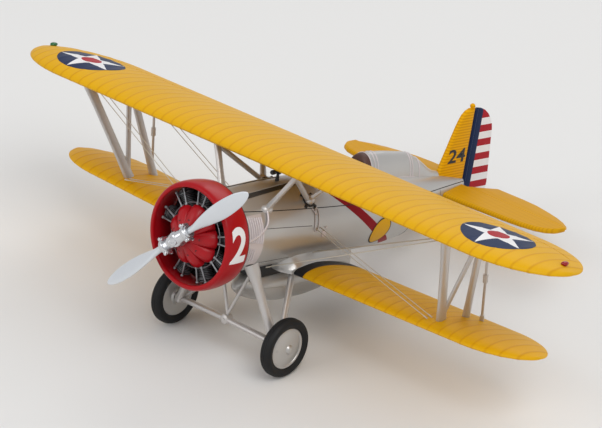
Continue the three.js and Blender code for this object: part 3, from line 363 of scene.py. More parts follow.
# Bare steel tube with an oily film: a broken, darker gleam.
DULL_STEEL = Finish("oily_steel_tube", "#8E9093", 0.38, metallic=0.6, mottle=0.2, mottle_mm=1.5)
# Steel wire under pale lacquer: hardly any gleam, so that a thin line reads softly.
PALE_WIRE = Finish("pale_lacquered_steel_wire", "#BDB6A8", 0.45, metallic=0.2, mottle=0.06, mottle_mm=4)
# Nickel-plated steel fittings: sharp bright highlights.
NICKEL_STEEL = Finish(
    "nickel_plated_steel", "#D2D3D6", 0.22, metallic=0.9, mottle=0.05, mottle_mm=2, grain_mm=0.15,
    grain_depth=0.004,
)
# Red gloss enamel sprayed on the ring cowl: even, with a long soft highlight.
RED_ENAMEL = Finish(
    "gloss_enamel_red", "#A00C15", 0.32, coat=0.05, gloss=0.18, mottle=0.07, mottle_mm=12, grain_mm=0.4,
    grain_depth=0.005,
)
# The same red brushed on by hand, so that it dries uneven.
DARK_RED_ENAMEL = Finish(
    "satin_enamel_dark_red", "#A30F19", 0.34, coat=0.08, gloss=0.25, mottle=0.14, mottle_mm=3, grain_mm=0.3,
    grain_depth=0.01,
)
# Satin red of the diagonal band: deeper than the cowl, with almost no shine.
BAND_RED = Finish("satin_enamel_band_red", "#8E0F1B", 0.44, gloss=0.08, mottle=0.06, mottle_mm=5)
# Navy enamel of the markings: dark, with a weak highlight.
BLUE_ENAMEL = Finish("gloss_enamel_navy_blue", "#19294C", 0.4, gloss=0.12, mottle=0.06, mottle_mm=6)
# White enamel of the markings and dials: smooth, with a soft sheen.
WHITE_ENAMEL = Finish("gloss_enamel_white", "#E6E4E4", 0.4, coat=0.08, gloss=0.3, mottle=0.02, mottle_mm=6)
# Brighter red enamel of the markings, as weak in its highlight.
STRIPE_RED = Finish("gloss_enamel_stripe_red", "#A61322", 0.4, gloss=0.12, mottle=0.06, mottle_mm=5)
# Gritty black walkway paint, rubbed smooth where it has been trodden.
WALKWAY_BLACK = Finish(
    "rubbed_walkway_black", "#15171B", 0.42, gloss=0.3, mottle=0.12, mottle_mm=5, grain_mm=0.2
)
# Black ABS with the fine pebble of a spark-eroded mould; the same black paints the shadow in the gap above
# the belly tank.
BLACK_ABS_AND_SHADOW = Finish(
    "moulded_abs_black_and_shadow", "#1B1B1D", 0.5, mottle=0.15, mottle_mm=3, grain_mm=0.2, grain_depth=0.012
)
# Cast iron barrels in matt black, uneven and nearly without shine.
CYLINDER_BLACK = Finish(
    "matt_black_cast_cylinder", "#1D1D1E", 0.55, mottle=0.5, mottle_mm=0.9, grain_depth=0.02
)
# Grey on the outer faces of the cooling fins: a painted highlight where their raised edges catch the light.
FIN_GREY = Finish(
    "fin_edge_highlight_grey", "#66686B", 0.42, metallic=0.3, mottle=0.3, mottle_mm=0.8, grain_depth=0.01
)
# Thinned grey paint left in panel lines: a soft line without shine.
SEAM_GREY = Finish("panel_line_grey_paint", "#55514D", 0.6, mottle=0.2, mottle_mm=3)
# A paler grey than the panel lines, in shallow recesses: a soft painted shadow.
SOFT_GREY = Finish("recess_shadow_grey", "#8B8782", 0.6, mottle=0.1, mottle_mm=3)
# Matt black of gaps, rims and recesses: dark and without shine.
SEAM_BLACK = Finish("panel_gap_black", "#17171A", 0.6, mottle=0.2, mottle_mm=3)
# Gunmetal lacquer inside the gun troughs: dark with a dull metal gleam.
TROUGH_GREY = Finish("gunmetal_lacquer", "#4B4D50", 0.35, metallic=0.5, mottle=0.1, mottle_mm=6)
# Vulcanised rubber: matt, a little dusty at the tread.
RUBBER = Finish(
    "vulcanised_rubber", "#161617", 0.6, gloss=0.3, mottle=0.2, mottle_mm=4, grain_mm=0.25, grain_depth=0.015
)
# Brown grained leather with darker creases.
LEATHER = Finish(
    "grained_leather_brown", "#4A2A20", 0.55, mottle=0.3, mottle_mm=1.2, grain_mm=0.3, grain_depth=0.05
)
# Matt grey-green protective paint, flat and slightly patchy.
INTERIOR = Finish("interior_grey_green_paint", "#6D7468", 0.6, mottle=0.1, mottle_mm=4)
# Dull bare aluminium sheet: a broad, weak gleam.
SEAT_GREY = Finish("dull_aluminium_seat", "#8C8F90", 0.5, metallic=0.3, mottle=0.1, mottle_mm=3)
# Tinted acrylic lamps: deep colour that lets some light through.
RED_LENS = ClearMoulding("tinted_acrylic_red", "#A11218", 0.12, clearness=0.25, mottle=0.05)
# The green lamp, of the same moulding.
GREEN_LENS = ClearMoulding("tinted_acrylic_green", "#1E6B3A", 0.12, clearness=0.25, mottle=0.05)
# Clear acrylic screen: nearly invisible but for its edges and highlights.
CLEAR_ACRYLIC = ClearMoulding(
    "clear_acrylic", "#EAF0F0", 0.06, clearness=0.92, mottle=0.01, grain_depth=0.001
)


# ---- shaping tools


def point(x: float, y: float, z: float) -> Vector:
    """Gives a point in the airframe's own axes."""
    return Vector((x, y, z))


def loft(rings: Sequence[Sequence[Vector]], closed: bool = True, caps: bool = True) -> BMesh:
    """Skins a row of rings by bending a flat grid round them.

    Args:
        rings: rings of equal count.
        closed: whether each ring closes on itself.
        caps: whether open ends get a flat face.

    Returns:
        The skin.
    """
    rows, count = len(rings) - 1, len(rings[0])
    columns = count if closed else count - 1
    bm = bmesh.new()
    bmesh.ops.create_grid(bm, x_segments=columns, y_segments=rows, size=1)
    for vert in bm.verts:
        column = round((vert.co.x + 1) / 2 * columns)
        row = round((vert.co.y + 1) / 2 * rows)
        vert.co = rings[row][column % count]
    bmesh.ops.remove_doubles(bm, verts=bm.verts, dist=1e-4)
    if caps:
        rims = [edge for edge in bm.edges if edge.is_boundary]
        bmesh.ops.holes_fill(bm, edges=rims, sides=0)
    bmesh.ops.recalc_face_normals(bm, faces=bm.faces)
    return bm


def spun(profile: Sequence[tuple[float, float]], steps: int = 64, about: str = "X") -> BMesh:
    """Turns a profile into a body of revolution.

    Args:
        profile: pairs of radius and place along the axis.
        steps: faces round the body.
        about: axis of the body, X, Y or Z.

    Returns:
        The turned body.
    """
    bm = bmesh.new()
    verts = [bm.verts.new((along, 0, radius)) for radius, along in profile]
    edges = [bm.edges.new(pair) for pair in pairwise(verts)]
    bmesh.ops.spin(
        bm, geom=verts + edges, cent=(0, 0, 0), axis=(1, 0, 0), angle=TURN, steps=steps, use_merge=True
    )
    bmesh.ops.remove_doubles(bm, verts=bm.verts, dist=1e-4)
    bmesh.ops.recalc_face_normals(bm, faces=bm.faces)
    axis = {"X": (1, 0, 0), "Y": (0, 1, 0), "Z": (0, 0, 1)}[about]
    turn = Vector((1, 0, 0)).rotation_difference(Vector(axis)).to_matrix().to_4x4()
    bmesh.ops.transform(bm, matrix=turn, verts=bm.verts)
    return bm


def oval(centre: Vector, long: Vector, wide: Vector, count: int = 20, lead: float = 0.0) -> list[Vector]:
    """Gives an oval ring of points.

    Args:
        centre: centre of the ring.
        long: half of its long axis.
        wide: half of its short axis.
        count: number of points.
        lead: how far the widest place moves forward, as a share of the half chord.

    Returns:
        Points of the ring.
    """
    ring = []
    for i in range(count):
        angle = TURN * i / count
        c, s = math.cos(angle), math.sin(angle)
        ring.append(centre + long * (c + lead * s * s) + wide * s)
    return ring


def strut(
    start: Vector, end: Vector, chords: Sequence[float], widths: Sequence[float],
    fore: Vector = Vector((1, 0, 0)),
) -> BMesh:
    """Makes a streamlined bar whose long side lies fore and aft.

    Args:
        start: one end.
        end: other end.
        chords: fore-and-aft sizes, evenly spaced from start to end.
        widths: widths at the same places.
        fore: direction of the leading edge.

    Returns:
        The bar.
    """
    axis = (end - start).normalized()
    across = fore.cross(axis).normalized()
    along = axis.cross(across).normalized()
    if along.dot(fore) < 0:
        along.negate()
    last = len(chords) - 1
    rings = [
        oval(start.lerp(end, i / last), along * chord / 2, across * width / 2, lead=0.25)
        for i, (chord, width) in enumerate(zip(chords, widths))
    ]
    return loft(rings)


def tube(path: Sequence[Vector], radius: float | Sequence[float], count: int = 10) -> BMesh:
    """Sweeps a round section along a path.

    Args:
        path: points of the centre line.
        radius: one radius, or one for each point.
        count: points round the section.

    Returns:
        The tube.
    """
    radii = [radius] * len(path) if isinstance(radius, (int, float)) else radius
    rings = []
    side = None
    for i, (centre, r) in enumerate(zip(path, radii)):
        ahead = path[min(i + 1, len(path) - 1)] - path[max(i - 1, 0)]
        ahead.normalize()
        if side is None:
            side = ahead.orthogonal().normalized()
        side = (side - ahead * side.dot(ahead)).normalized()
        rings.append(oval(centre, side * r, ahead.cross(side) * r, count))
    return loft(rings)


def block(size: tuple[float, float, float], centre: Vector, round_by: float, segments: int = 3) -> BMesh:
    """Makes a box with rounded edges.

    Args:
        size: lengths along X, Y and Z.
        centre: its middle.
        round_by: radius of its edges.
        segments: faces across each rounded edge.

    Returns:
        The box.
    """
    bm = bmesh.new()
    place = Matrix.Translation(centre) @ Matrix.Diagonal((*size, 1))
    bmesh.ops.create_cube(bm, size=1, matrix=place)
    bmesh.ops.bevel(
        bm, geom=bm.edges[:], offset=round_by, affect="EDGES", segments=segments, profile=0.5, material=-1
    )
    return bm


def dome(centre: Vector, radius: float, stretch: Vector = Vector((1, 1, 1)), segments: int = 24) -> BMesh:
    """Makes a ball, stretched along the axes.

    Args:
        centre: its middle.
        radius: its radius.
        stretch: factor along each axis.
        segments: faces round it.

    Returns:
        The ball.
    """
    bm = bmesh.new()
    place = Matrix.Translation(centre) @ Matrix.Diagonal((*stretch, 1))
    bmesh.ops.create_uvsphere(bm, u_segments=segments, v_segments=segments // 2, radius=radius, matrix=place)
    return bm


def moved(bm: BMesh, matrix: Matrix) -> BMesh:
    """Moves a mesh, turning it right side out again if the move mirrors it."""
    bmesh.ops.transform(bm, matrix=matrix, verts=bm.verts)
    if matrix.determinant() < 0:
        bmesh.ops.reverse_faces(bm, faces=bm.faces)
    return bm


def gathered(parts: Iterable[BMesh]) -> BMesh:
    """Puts several meshes into one.

    Args:
        parts: meshes, which are used up.

    Returns:
        The one mesh.
    """
    whole = bmesh.new()
    for part in parts:
        mesh = bpy.data.meshes.new("part")
        part.to_mesh(mesh)
        part.free()
        whole.from_mesh(mesh)
        bpy.data.meshes.remove(mesh)
    return whole


def copied(bm: BMesh, places: Iterable[Matrix]) -> BMesh:
    """Repeats a mesh at several places.

    Args:
        bm: mesh to repeat, which is used up.
        places: a matrix for each copy.

    Returns:
        One mesh with every copy.
    """
    whole = gathered(moved(bm.copy(), place) for place in places)
    bm.free()
    return whole


def painted(bm: BMesh, index: int, where: Callable[[Vector], bool] | None = None) -> BMesh:
    """Gives faces one of the piece's finishes.

    Args:
        bm: mesh to paint.
        index: number of the finish.
        where: test of a face's middle, or nothing for all of them.

    Returns:
        The same mesh.
    """
    for face in bm.faces:
        if where is None or where(face.calc_center_median()):
            face.material_index = index
    return bm


def split(bm: BMesh, through: Vector, normal: Vector) -> BMesh:
    """Adds an edge all round where a plane crosses the mesh."""
    bmesh.ops.bisect_plane(
        bm, geom=bm.verts[:] + bm.edges[:] + bm.faces[:], dist=1e-5, plane_co=through, plane_no=normal
    )
    return bm


def trimmed(bm: BMesh, through: Vector, normal: Vector) -> BMesh:
    """Cuts away what lies on the normal's side of a plane."""
    bmesh.ops.bisect_plane(
        bm, geom=bm.verts[:] + bm.edges[:] + bm.faces[:], dist=1e-5, plane_co=through, plane_no=normal,
        clear_outer=True,
    )
    return bm


def walled(bm: BMesh, thickness: float) -> BMesh:
    """Gives an open skin a wall on its inner side."""
    bmesh.ops.solidify(bm, geom=bm.faces[:], thickness=thickness)
    return bm


def spread(low: float, high: float, count: int) -> list[float]:
    """Gives evenly spaced values from low to high."""
    return [low + (high - low) * i / (count - 1) for i in range(count)]


# ---- frame and bench


@dataclass(frozen=True)
class Datum:
    """Place of the airframe's own axes in the shared frame."""

    place: Matrix

    @classmethod
    def at_shaft(cls, joint: dict) -> Datum:
        """Takes the axes from the propeller's shaft.

        Args:
            joint: row of the propeller joint.

        Returns:
            Axes with their origin at the hub.
        """
        nose = Vector(joint["axis"]).normalized()
        port = Vector((0, 1, 0))
        turn = Matrix((nose, port, nose.cross(port))).transposed().to_4x4()
        return cls(Matrix.Translation(joint["pos_m"]) @ turn @ Matrix.Scale(MM, 4))


@dataclass
class Bench:
    """Turns shaped meshes into finished pieces that ride on the frame's bodies."""

    datum: Datum
    nodes: dict[str, bpy.types.Object]

    def piece(
        self,
        name: str,
        bm: BMesh,
        finishes: Finish | Sequence[Finish],
        slot: str,
        body: str = "airframe",
        stands_for: Sequence[str] = (),
        crease: float = 38.0,
    ) -> bpy.types.Object:
        """Finishes one piece.

        Args:
            name: name of the piece.
            bm: its mesh in the airframe's axes, which is used up.
            finishes: its finish, or one for each material number.
            slot: material slot of the record; not used.
            body: body that it rides on.
            stands_for: CAD nodes that it replaces.
            crease: angle in degrees past which an edge stays sharp.

        Returns:
            The finished object.
        """
        bmesh.ops.transform(bm, matrix=self.datum.place, verts=bm.verts)
        mesh = bpy.data.meshes.new(name)
        bm.to_mesh(mesh)
        bm.free()
        for finish in [finishes] if isinstance(finishes, Finish) else finishes:
            mesh.materials.append(finish.material())
        mesh.shade_smooth()
        mesh.set_sharp_from_angle(angle=math.radians(crease))
        obj = bpy.data.objects.new(name, mesh)
        bpy.context.scene.collection.objects.link(obj)
        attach(obj, body)
        if stands_for:
            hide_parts(*stands_for)
        LOG.info("%s: %d faces on %s", name, len(mesh.polygons), body)
        return obj

    def keep(self, finish: Finish, *names: str) -> None:
        """Gives kept CAD nodes a finish.

        Args:
            finish: the finish.
            *names: names of the nodes.
        """
        for name in names:
            for slot in self.nodes[name].material_slots:
                slot.material = finish.material()
            LOG.info("%s keeps its shape in %s", name, finish.name)


# ---- forms shared by the pieces


@dataclass(frozen=True)
class Section:
    """Cross section of the fuselage: its place, half width, crown and keel."""

    x: float
    width: float
    crown: float
    keel: float

    def skin(self, degrees: float, offset: float = 0.0) -> Vector:
        """Gives a point on the skin.

        Args:
            degrees: angle from the port side, 90 being the crown.
            offset: distance off the skin.

        Returns:
            The point.
        """
        c, s = math.cos(math.radians(degrees)), math.sin(math.radians(degrees))
        height = self.crown if s > 0 else self.keel
        return point(self.x, (self.width + offset) * c, (height + offset) * s)


def curve_value(values: Sequence[float], u: float) -> float:
    """Reads a smooth curve through evenly numbered values.

    Args:
        values: values the curve passes through.
        u: share of the curve, 0 to 1.

    Returns:
        Value at that share.
    """
    last = len(values) - 1
    at = min(max(u, 0.0), 1.0) * last
    i = min(int(at), last - 1)
    w = at - i
    before = values[i - 1] if i > 0 else 2 * values[0] - values[1]
    after = values[i + 2] if i + 2 <= last else 2 * values[last] - values[last - 1]
    a, b = values[i], values[i + 1]
    t0, t1 = (b - before) / 2, (after - a) / 2
    return a + t0 * w + (-3 * a + 3 * b - 2 * t0 - t1) * w**2 + (2 * a - 2 * b + t0 + t1) * w**3


def curve_value_at(keys: Sequence[float], values: Sequence[float], at: float) -> float:
    """Gives a value on straight lines between keys.

    Args:
        keys: rising keys.
        values: value at each key.
        at: place among the keys.

    Returns:
        The value there.
    """
    for (k0, v0), (k1, v1) in pairwise(zip(keys, values)):
        if k0 <= at <= k1:
            return v0 + (v1 - v0) * (at - k0) / (k1 - k0)
    return values[-1]


@dataclass(frozen=True)
class FuselageForm:
    """Outer form of the fuselage, with its stations as shares of the full sizes."""

    front_x: float = -13.0
    length: float = 100.1
    half_width: float = 11.2
    crown: float = 11.0
    keel: float = 11.2
    along: tuple[float, ...] = (0, 0.07, 0.21, 0.33, 0.47, 0.62, 0.76, 0.88, 1)
    widths: tuple[float, ...] = (0.955, 0.99, 1, 1, 0.97, 0.88, 0.68, 0.4, 0.12)
    crowns: tuple[float, ...] = (0.93, 0.96, 1, 0.97, 0.92, 0.76, 0.57, 0.36, 0.15)
    keels: tuple[float, ...] = (0.97, 0.99, 1, 1.01, 1.06, 1.08, 0.95, 0.72, 0.45)
    seam_front: float = 7.8
    seam_rear: float = 0.87

    def share(self, u: float) -> Section:
        """Gives the section at a share of the form's curve."""
        return Section(
            self.front_x - curve_value(self.along, u) * self.length,
            curve_value(self.widths, u) * self.half_width,
            curve_value(self.crowns, u) * self.crown,
            curve_value(self.keels, u) * self.keel,
        )

    def at(self, x: float) -> Section:
        """Gives the section at a place along the fuselage."""
        low, high = 0.0, 1.0
        for _ in range(30):
            middle = (low + high) / 2
            if self.share(middle).x > x:
                low = middle
            else:
                high = middle
        return self.share(low)

    def skin(self, x: float, degrees: float, offset: float = 0.0) -> Vector:
        """Gives a point on the skin at a place and an angle."""
        return self.at(x).skin(degrees, offset)

    def side(self, x: float, z: float, way: int, offset: float = 0.0) -> Vector:
        """Gives the point on one side of the skin at a place and a height.

        Args:
            x: place along the fuselage.
            z: height.
            way: 1 for port, -1 for starboard.
            offset: distance off the skin.

        Returns:
            The point.
        """
        section = self.at(x)
        height = section.crown if z > 0 else section.keel
        angle = math.asin(max(-1.0, min(1.0, z / height)))
        found = section.skin(math.degrees(angle), offset)
        return point(found.x, way * found.y, found.z)

    def seam_z(self, x: float) -> float:
        """Gives the height of the joint between the shell and the decks."""
        return self.seam_front + (x - self.front_x) * (self.seam_front - self.seam_rear) / self.length

    def rings(self, front: float, rear: float, count: int, around: int = 96) -> list[list[Vector]]:
        """Gives rings of the skin.

        Args:
            front: place of the first ring.
            rear: place of the last ring.
            count: number of rings.
            around: points in each ring.

        Returns:
            The rings, from the front.
        """
        sections = [self.at(x) for x in spread(front, rear, count)]
        return [[s.skin(360 * (i + 0.5) / around) for i in range(around)] for s in sections]


@dataclass(frozen=True)
class WingForm:
    """Cambered wing with elliptical tips and ribs under its skin."""

    span: float
    chord: float
    lead_x: float
    lead_z: float
    incidence: float
    dihedral: float
    tip_length: float
    root_y: float = 0.0
    thickness: float = 0.115
    rib_pitch: float = 3.5
    rib_height: float = 0.055
    rib_half: float = 0.42
    sag: float = 0.03
    hinge: tuple[float, float, float] | None = None

    def tip_share(self, y: float) -> float:
        """Gives the share of the chord that is left near the tip."""
        from_tip = self.span / 2 - abs(y)
        if from_tip >= self.tip_length:
            return 1.0
        t = 1 - max(from_tip, 0.0) / self.tip_length
        return math.sqrt(max(0.0, 1 - t * t))

    def relief(self, y: float, t: float) -> float:
        """Gives how far the skin stands off its plain form.

        Args:
            y: place along the span.
            t: share of the chord from the leading edge.

        Returns:
            Height off the plain form.
        """
        off = abs((y / self.rib_pitch + 0.5) % 1.0 - 0.5) * self.rib_pitch
        ridge = self.rib_height * max(0.0, 1 - (off / self.rib_half) ** 2)
        hollow = self.sag * math.sin(math.pi * off / self.rib_pitch) ** 2
        fade = min(1.0, t / 0.04) * min(1.0, (1 - t) / 0.03)
        groove = 0.0
        if self.hinge and self.hinge[0] < abs(y) < self.hinge[1] and abs(t - self.hinge[2]) < 0.004:
            groove = 0.28
        return (ridge - hollow) * fade - groove

    def surface(self, y: float, t: float, side: int, lift: float = 0.0) -> Vector:
        """Gives a point on the skin.

        Args:
            y: place along the span.
            t: share of the chord from the leading edge.
            side: 1 for the upper skin, -1 for the lower.
            lift: distance off the skin.

        Returns:
            The point.
        """
        share = self.tip_share(y)
        root = math.sqrt(max(t, 0.0))
        half = 5 * self.thickness * (
            0.2969 * root - 0.126 * t - 0.3516 * t**2 + 0.2843 * t**3 - 0.1036 * t**4
        ) + 0.009 * t
        camber, peak = 0.042, 0.4
        ahead = t < peak
        line = camber / (peak**2 if ahead else (1 - peak) ** 2) * (
            (2 * peak * t - t**2) if ahead else (1 - 2 * peak + 2 * peak * t - t**2)
        )
        thick = max(share, 0.35) if share > 0.35 else 0.35 * math.sqrt(share / 0.35)
        height = (line + side * half) * self.chord * thick
        height += side * (self.relief(y, t) * min(1.0, share * 2) + lift)
        along = self.chord / 2 + (t - 0.5) * self.chord * share
        tilt = math.radians(self.incidence)
        return point(
            self.lead_x - along * math.cos(tilt) + height * math.sin(tilt),
            y,
            self.lead_z - along * math.sin(tilt) + height * math.cos(tilt)
            + abs(y) * math.tan(math.radians(self.dihedral)),
        )

    def above(self, x: float, y: float, side: int = 1, lift: float = 0.0) -> Vector:
        """Gives the point on the skin straight above or below a place.

        Args:
            x: place fore and aft.
            y: place along the span.
            side: 1 for the upper skin, -1 for the lower.
            lift: distance off the skin.

        Returns:
            The point.
        """
        share = max(self.tip_share(y), 1e-3)
        along = (self.lead_x - x) / math.cos(math.radians(self.incidence))
        t = 0.5 + (along - self.chord / 2) / (self.chord * share)
        return self.surface(y, min(1.0, max(0.0, t)), side, lift)

    def inside(self, behind: float, y: float) -> Vector:
        """Gives a point between the skins, a distance behind the leading edge."""
        x = self.lead_x - behind
        return (self.above(x, y, 1) + self.above(x, y, -1)) / 2

    def stations(self) -> list[float]:
        """Gives places along one half of the span, close together at each rib."""
        tip = self.span / 2
        steps = [-0.5, -0.3, -0.12, -0.08, -0.04, 0, 0.04, 0.08, 0.12, 0.3]
        ribs = range(int(self.root_y / self.rib_pitch), int(tip / self.rib_pitch) + 2)
        found = {round((rib + step) * self.rib_pitch, 4) for rib in ribs for step in steps}
        found |= {round(tip - d, 4) for d in (0.0, 0.03, 0.12, 0.3, 0.6, 1.0, 1.6, 2.4)}
        return sorted(y for y in found if self.root_y <= y <= tip)

    def half_rings(self, chordwise: int = 26) -> list[list[Vector]]:
        """Gives the sections of one half, from the root to the tip.

        Args:
            chordwise: steps along each skin.

        Returns:
            A ring of points for each station.
        """
        shares = [(1 - math.cos(math.pi * i / chordwise)) / 2 for i in range(chordwise + 1)]
        if self.hinge:
            shares = sorted({*shares, *(self.hinge[2] + d for d in (-0.0065, -0.0035, 0.0035, 0.0065))})
        rings = []
        for y in self.stations():
            upper = [self.surface(y, t, 1) for t in reversed(shares)]
            lower = [self.surface(y, t, -1) for t in shares[1:]]
            rings.append(upper + lower)
        return rings


FUSELAGE = FuselageForm()
UPPER = WingForm(
    span=186.5, chord=31.75, lead_x=-22.4, lead_z=18.9, incidence=3.4, dihedral=0.0, tip_length=21.75,
    hinge=(42.0, 87.5, 0.79),
)
LOWER = WingForm(
    span=165.9, chord=23.8, lead_x=-34.9, lead_z=-11.2, incidence=3.6, dihedral=1.84, tip_length=16.75,
    root_y=6.4,
)

MIRROR = Matrix.Scale(-1, 4, (0, 1, 0))


def sided(bm: BMesh, way: int) -> BMesh:
    """Keeps a port piece, or mirrors it for starboard."""
    return bm if way > 0 else moved(bm, MIRROR)


def decal(
    outline: Sequence[tuple[float, float]], cell: float, drape: Callable[[float, float], Vector],
    thickness: float = 0.03,
) -> BMesh:
    """Cuts a convex outline from a fine grid and lays it on a surface as a thin film.

    Args:
        outline: corners in turn, anticlockwise.
        cell: size of one face of the grid.
        drape: gives the place on the surface for two flat values.
        thickness: thickness of the film.

    Returns:
        The film.
    """
    low = Vector((min(u for u, _ in outline), min(v for _, v in outline), 0))
    high = Vector((max(u for u, _ in outline), max(v for _, v in outline), 0))
    size = high - low
    bm = bmesh.new()
    place = Matrix.Translation((low + high) / 2) @ Matrix.Diagonal((size.x / 2, size.y / 2, 1, 1))
    bmesh.ops.create_grid(
        bm, x_segments=max(2, round(size.x / cell)), y_segments=max(2, round(size.y / cell)), size=1,
        matrix=place,
    )
    for (u0, v0), (u1, v1) in pairwise([*outline, outline[0]]):
        trimmed(bm, Vector((u0, v0, 0)), Vector((v1 - v0, u0 - u1, 0)))
    for vert in bm.verts:
        vert.co = drape(vert.co.x, vert.co.y)
    return walled(bm, thickness)


def ring_outline(u: float, v: float, radius: float, count: int = 56) -> list[tuple[float, float]]:
    """Gives the corners of a disc."""
    return [
        (u + radius * math.cos(TURN * i / count), v + radius * math.sin(TURN * i / count))
        for i in range(count)
    ]


def star_outlines(u: float, v: float, radius: float) -> list[list[tuple[float, float]]]:
    """Gives the five kites of a star that points along u."""
    def corner(r: float, tenths: float) -> tuple[float, float]:
        """Gives a corner at a tenth of a turn."""
        return u + r * math.cos(TURN * tenths / 10), v + r * math.sin(TURN * tenths / 10)

    notch = radius * 0.382
    return [
        [(u, v), corner(notch, 2 * k - 1), corner(radius, 2 * k), corner(notch, 2 * k + 1)] for k in range(5)
    ]


# ---- wings


@dataclass
class Wings:
    """Upper wing, the two lower wings and what is painted on them."""

    bench: Bench
    band: tuple[float, float] = (10.7, 13.9)
    roundel: tuple[float, float, float] = (-35.3, 71.75, 9.4)

    def build(self) -> None:
        """Builds the wings, their roundels, lamps and root fairings."""
        self.upper()
        for name, way in SIDES.items():
            self.lower(name, way)
            self.star(name, way)
            self.lamp(name, way)
            self.fairing(name, way)

    def upper(self) -> None:
        """Builds the upper wing with its engraved ailerons."""
        half = UPPER.half_rings()
        other = [[point(p.x, -p.y, p.z) for p in ring] for ring in reversed(half)]
        bm = loft(other + half[1:])
        self.bench.piece("upper_wing_skin", bm, WING_ENAMEL, "yellow_paint", stands_for=["upper_wing"])

    def lower(self, name: str, way: int) -> None:
        """Builds one lower wing with its walkway.

        Args:
            name: side of the wing.
            way: 1 for port, -1 for starboard.
        """
        bm = loft(LOWER.half_rings())
        for y in self.band:
            split(bm, point(0, y, 0), point(0, 1, 0))
        painted(bm, 1, lambda p: p.y < self.band[1])
        painted(bm, 2, lambda p: p.y < self.band[0])
        self.bench.piece(
            f"lower_wing_skin_{name}", sided(bm, way), [WING_ENAMEL, WALKWAY_BLACK, SILVER_LACQUER],
            "yellow_paint", stands_for=[f"lower_wing_{name}"],
        )

    def star(self, name: str, way: int) -> None:
        """Lays a plain star roundel on the upper wing.

        Args:
            name: side of the wing.
            way: 1 for port, -1 for starboard.
        """
        x, y, radius = self.roundel

        def on_wing(lift: float) -> Callable[[float, float], Vector]:
            """Gives the place on the upper skin with a lift."""
            return lambda u, v: UPPER.above(u, v, 1, lift)

        films = [painted(decal(ring_outline(x, y, radius), 0.4, on_wing(0.03)), 0)]
        for kite in star_outlines(x, y, radius * 0.985):
            films.append(painted(decal(kite, 0.4, on_wing(0.055)), 1))
        films.append(painted(decal(ring_outline(x, y, radius * 0.3), 0.4, on_wing(0.08)), 2))
        self.bench.piece(
            f"wing_roundel_{name}", sided(gathered(films), way), [BLUE_ENAMEL, WHITE_ENAMEL, STRIPE_RED],
            "yellow_paint", crease=50,
        )

    def lamp(self, name: str, way: int) -> None:
        """Builds a teardrop lamp on its plinth at the tip.

        Args:
            name: side of the wing.
            way: 1 for port, -1 for starboard.
        """
        low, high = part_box(f"navigation_light_{name}")
        centre = self.bench.datum.place.inverted() @ ((low + high) / 2)
        rings = []
        for t in spread(0, 1, 13):
            size = math.sqrt(max(0.0, 1 - (2 * t - 1) ** 2)) * (1 - 0.45 * t)
            place = centre + point(1.3 - 2.6 * t, 0, -0.1)
            rings.append(oval(place, point(0, 0.95 * size, 0), point(0, 0, 0.75 * size), 16))
        self.bench.piece(
            f"tip_lamp_{name}", loft(rings), RED_LENS if way > 0 else GREEN_LENS,
            "red_lamp" if way > 0 else "green_lamp", stands_for=[f"navigation_light_{name}"],
        )

    def fairing(self, name: str, way: int) -> None:
        """Builds the hollow fillet between the fuselage and the lower wing.

        Args:
            name: side of the wing.
            way: 1 for port, -1 for starboard.
        """
        places = (-33.4, -34.0, -35.2, -37.5, -41, -46, -51, -55.5, -59.5, -62)
        sizes = (0.02, 0.4, 0.8, 1, 1, 0.9, 0.72, 0.5, 0.24, 0.03)
        rings = []
        for u in spread(0, 1, 34):
            x, size = curve_value(places, u), curve_value(sizes, u)
            high = FUSELAGE.skin(x, -36 - 16 * (1 - size), -0.2)
            out = high.y + 0.2 + 1.75 * size
            wing = LOWER.above(min(x, LOWER.lead_x - 0.15), out).z
            floor = min(wing, high.z - 0.5)
            corner = point(x, high.y + 0.75 * size, floor + 1.3 * size)
            foot = point(x, out, floor + 0.15)
            arc = [high.lerp(corner, t).lerp(corner.lerp(foot, t), t) for t in spread(0, 1, 12)]
            rings.append([*arc, point(x, out, floor - 0.8), point(x, high.y - 3, floor - 0.8),
                          point(x, high.y - 3, high.z)])
        self.bench.piece(
            f"wing_root_fillet_{name}", sided(loft(rings), way), SILVER_LACQUER, "silver_paint",
            stands_for=[f"root_fairing_{name}"], crease=60,
        )


# ---- fuselage


def carved(body: BMesh, tools: Sequence[BMesh], operation: str = "DIFFERENCE") -> BMesh:
    """Cuts tools from a closed body, or joins them to it.

    Args:
        body: closed body, which is used up.
        tools: closed tools, which are used up.
        operation: DIFFERENCE or UNION.

    Returns:
        The new body.
    """
    objects = []
    for bm in (body, *tools):
        mesh = bpy.data.meshes.new("carve")
        bm.to_mesh(mesh)
        bm.free()
        objects.append(bpy.data.objects.new("carve", mesh))
        bpy.context.scene.collection.objects.link(objects[-1])
    for tool in objects[1:]:
        cutter = objects[0].modifiers.new("carve", "BOOLEAN")
        cutter.object, cutter.operation, cutter.solver = tool, operation, "EXACT"
    result = bmesh.new()
    result.from_object(objects[0], bpy.context.evaluated_depsgraph_get())
    for obj in objects:
        mesh = obj.data
        bpy.data.objects.remove(obj)
        bpy.data.meshes.remove(mesh)
    bmesh.ops.remove_doubles(result, verts=result.verts, dist=1e-4)
    return result


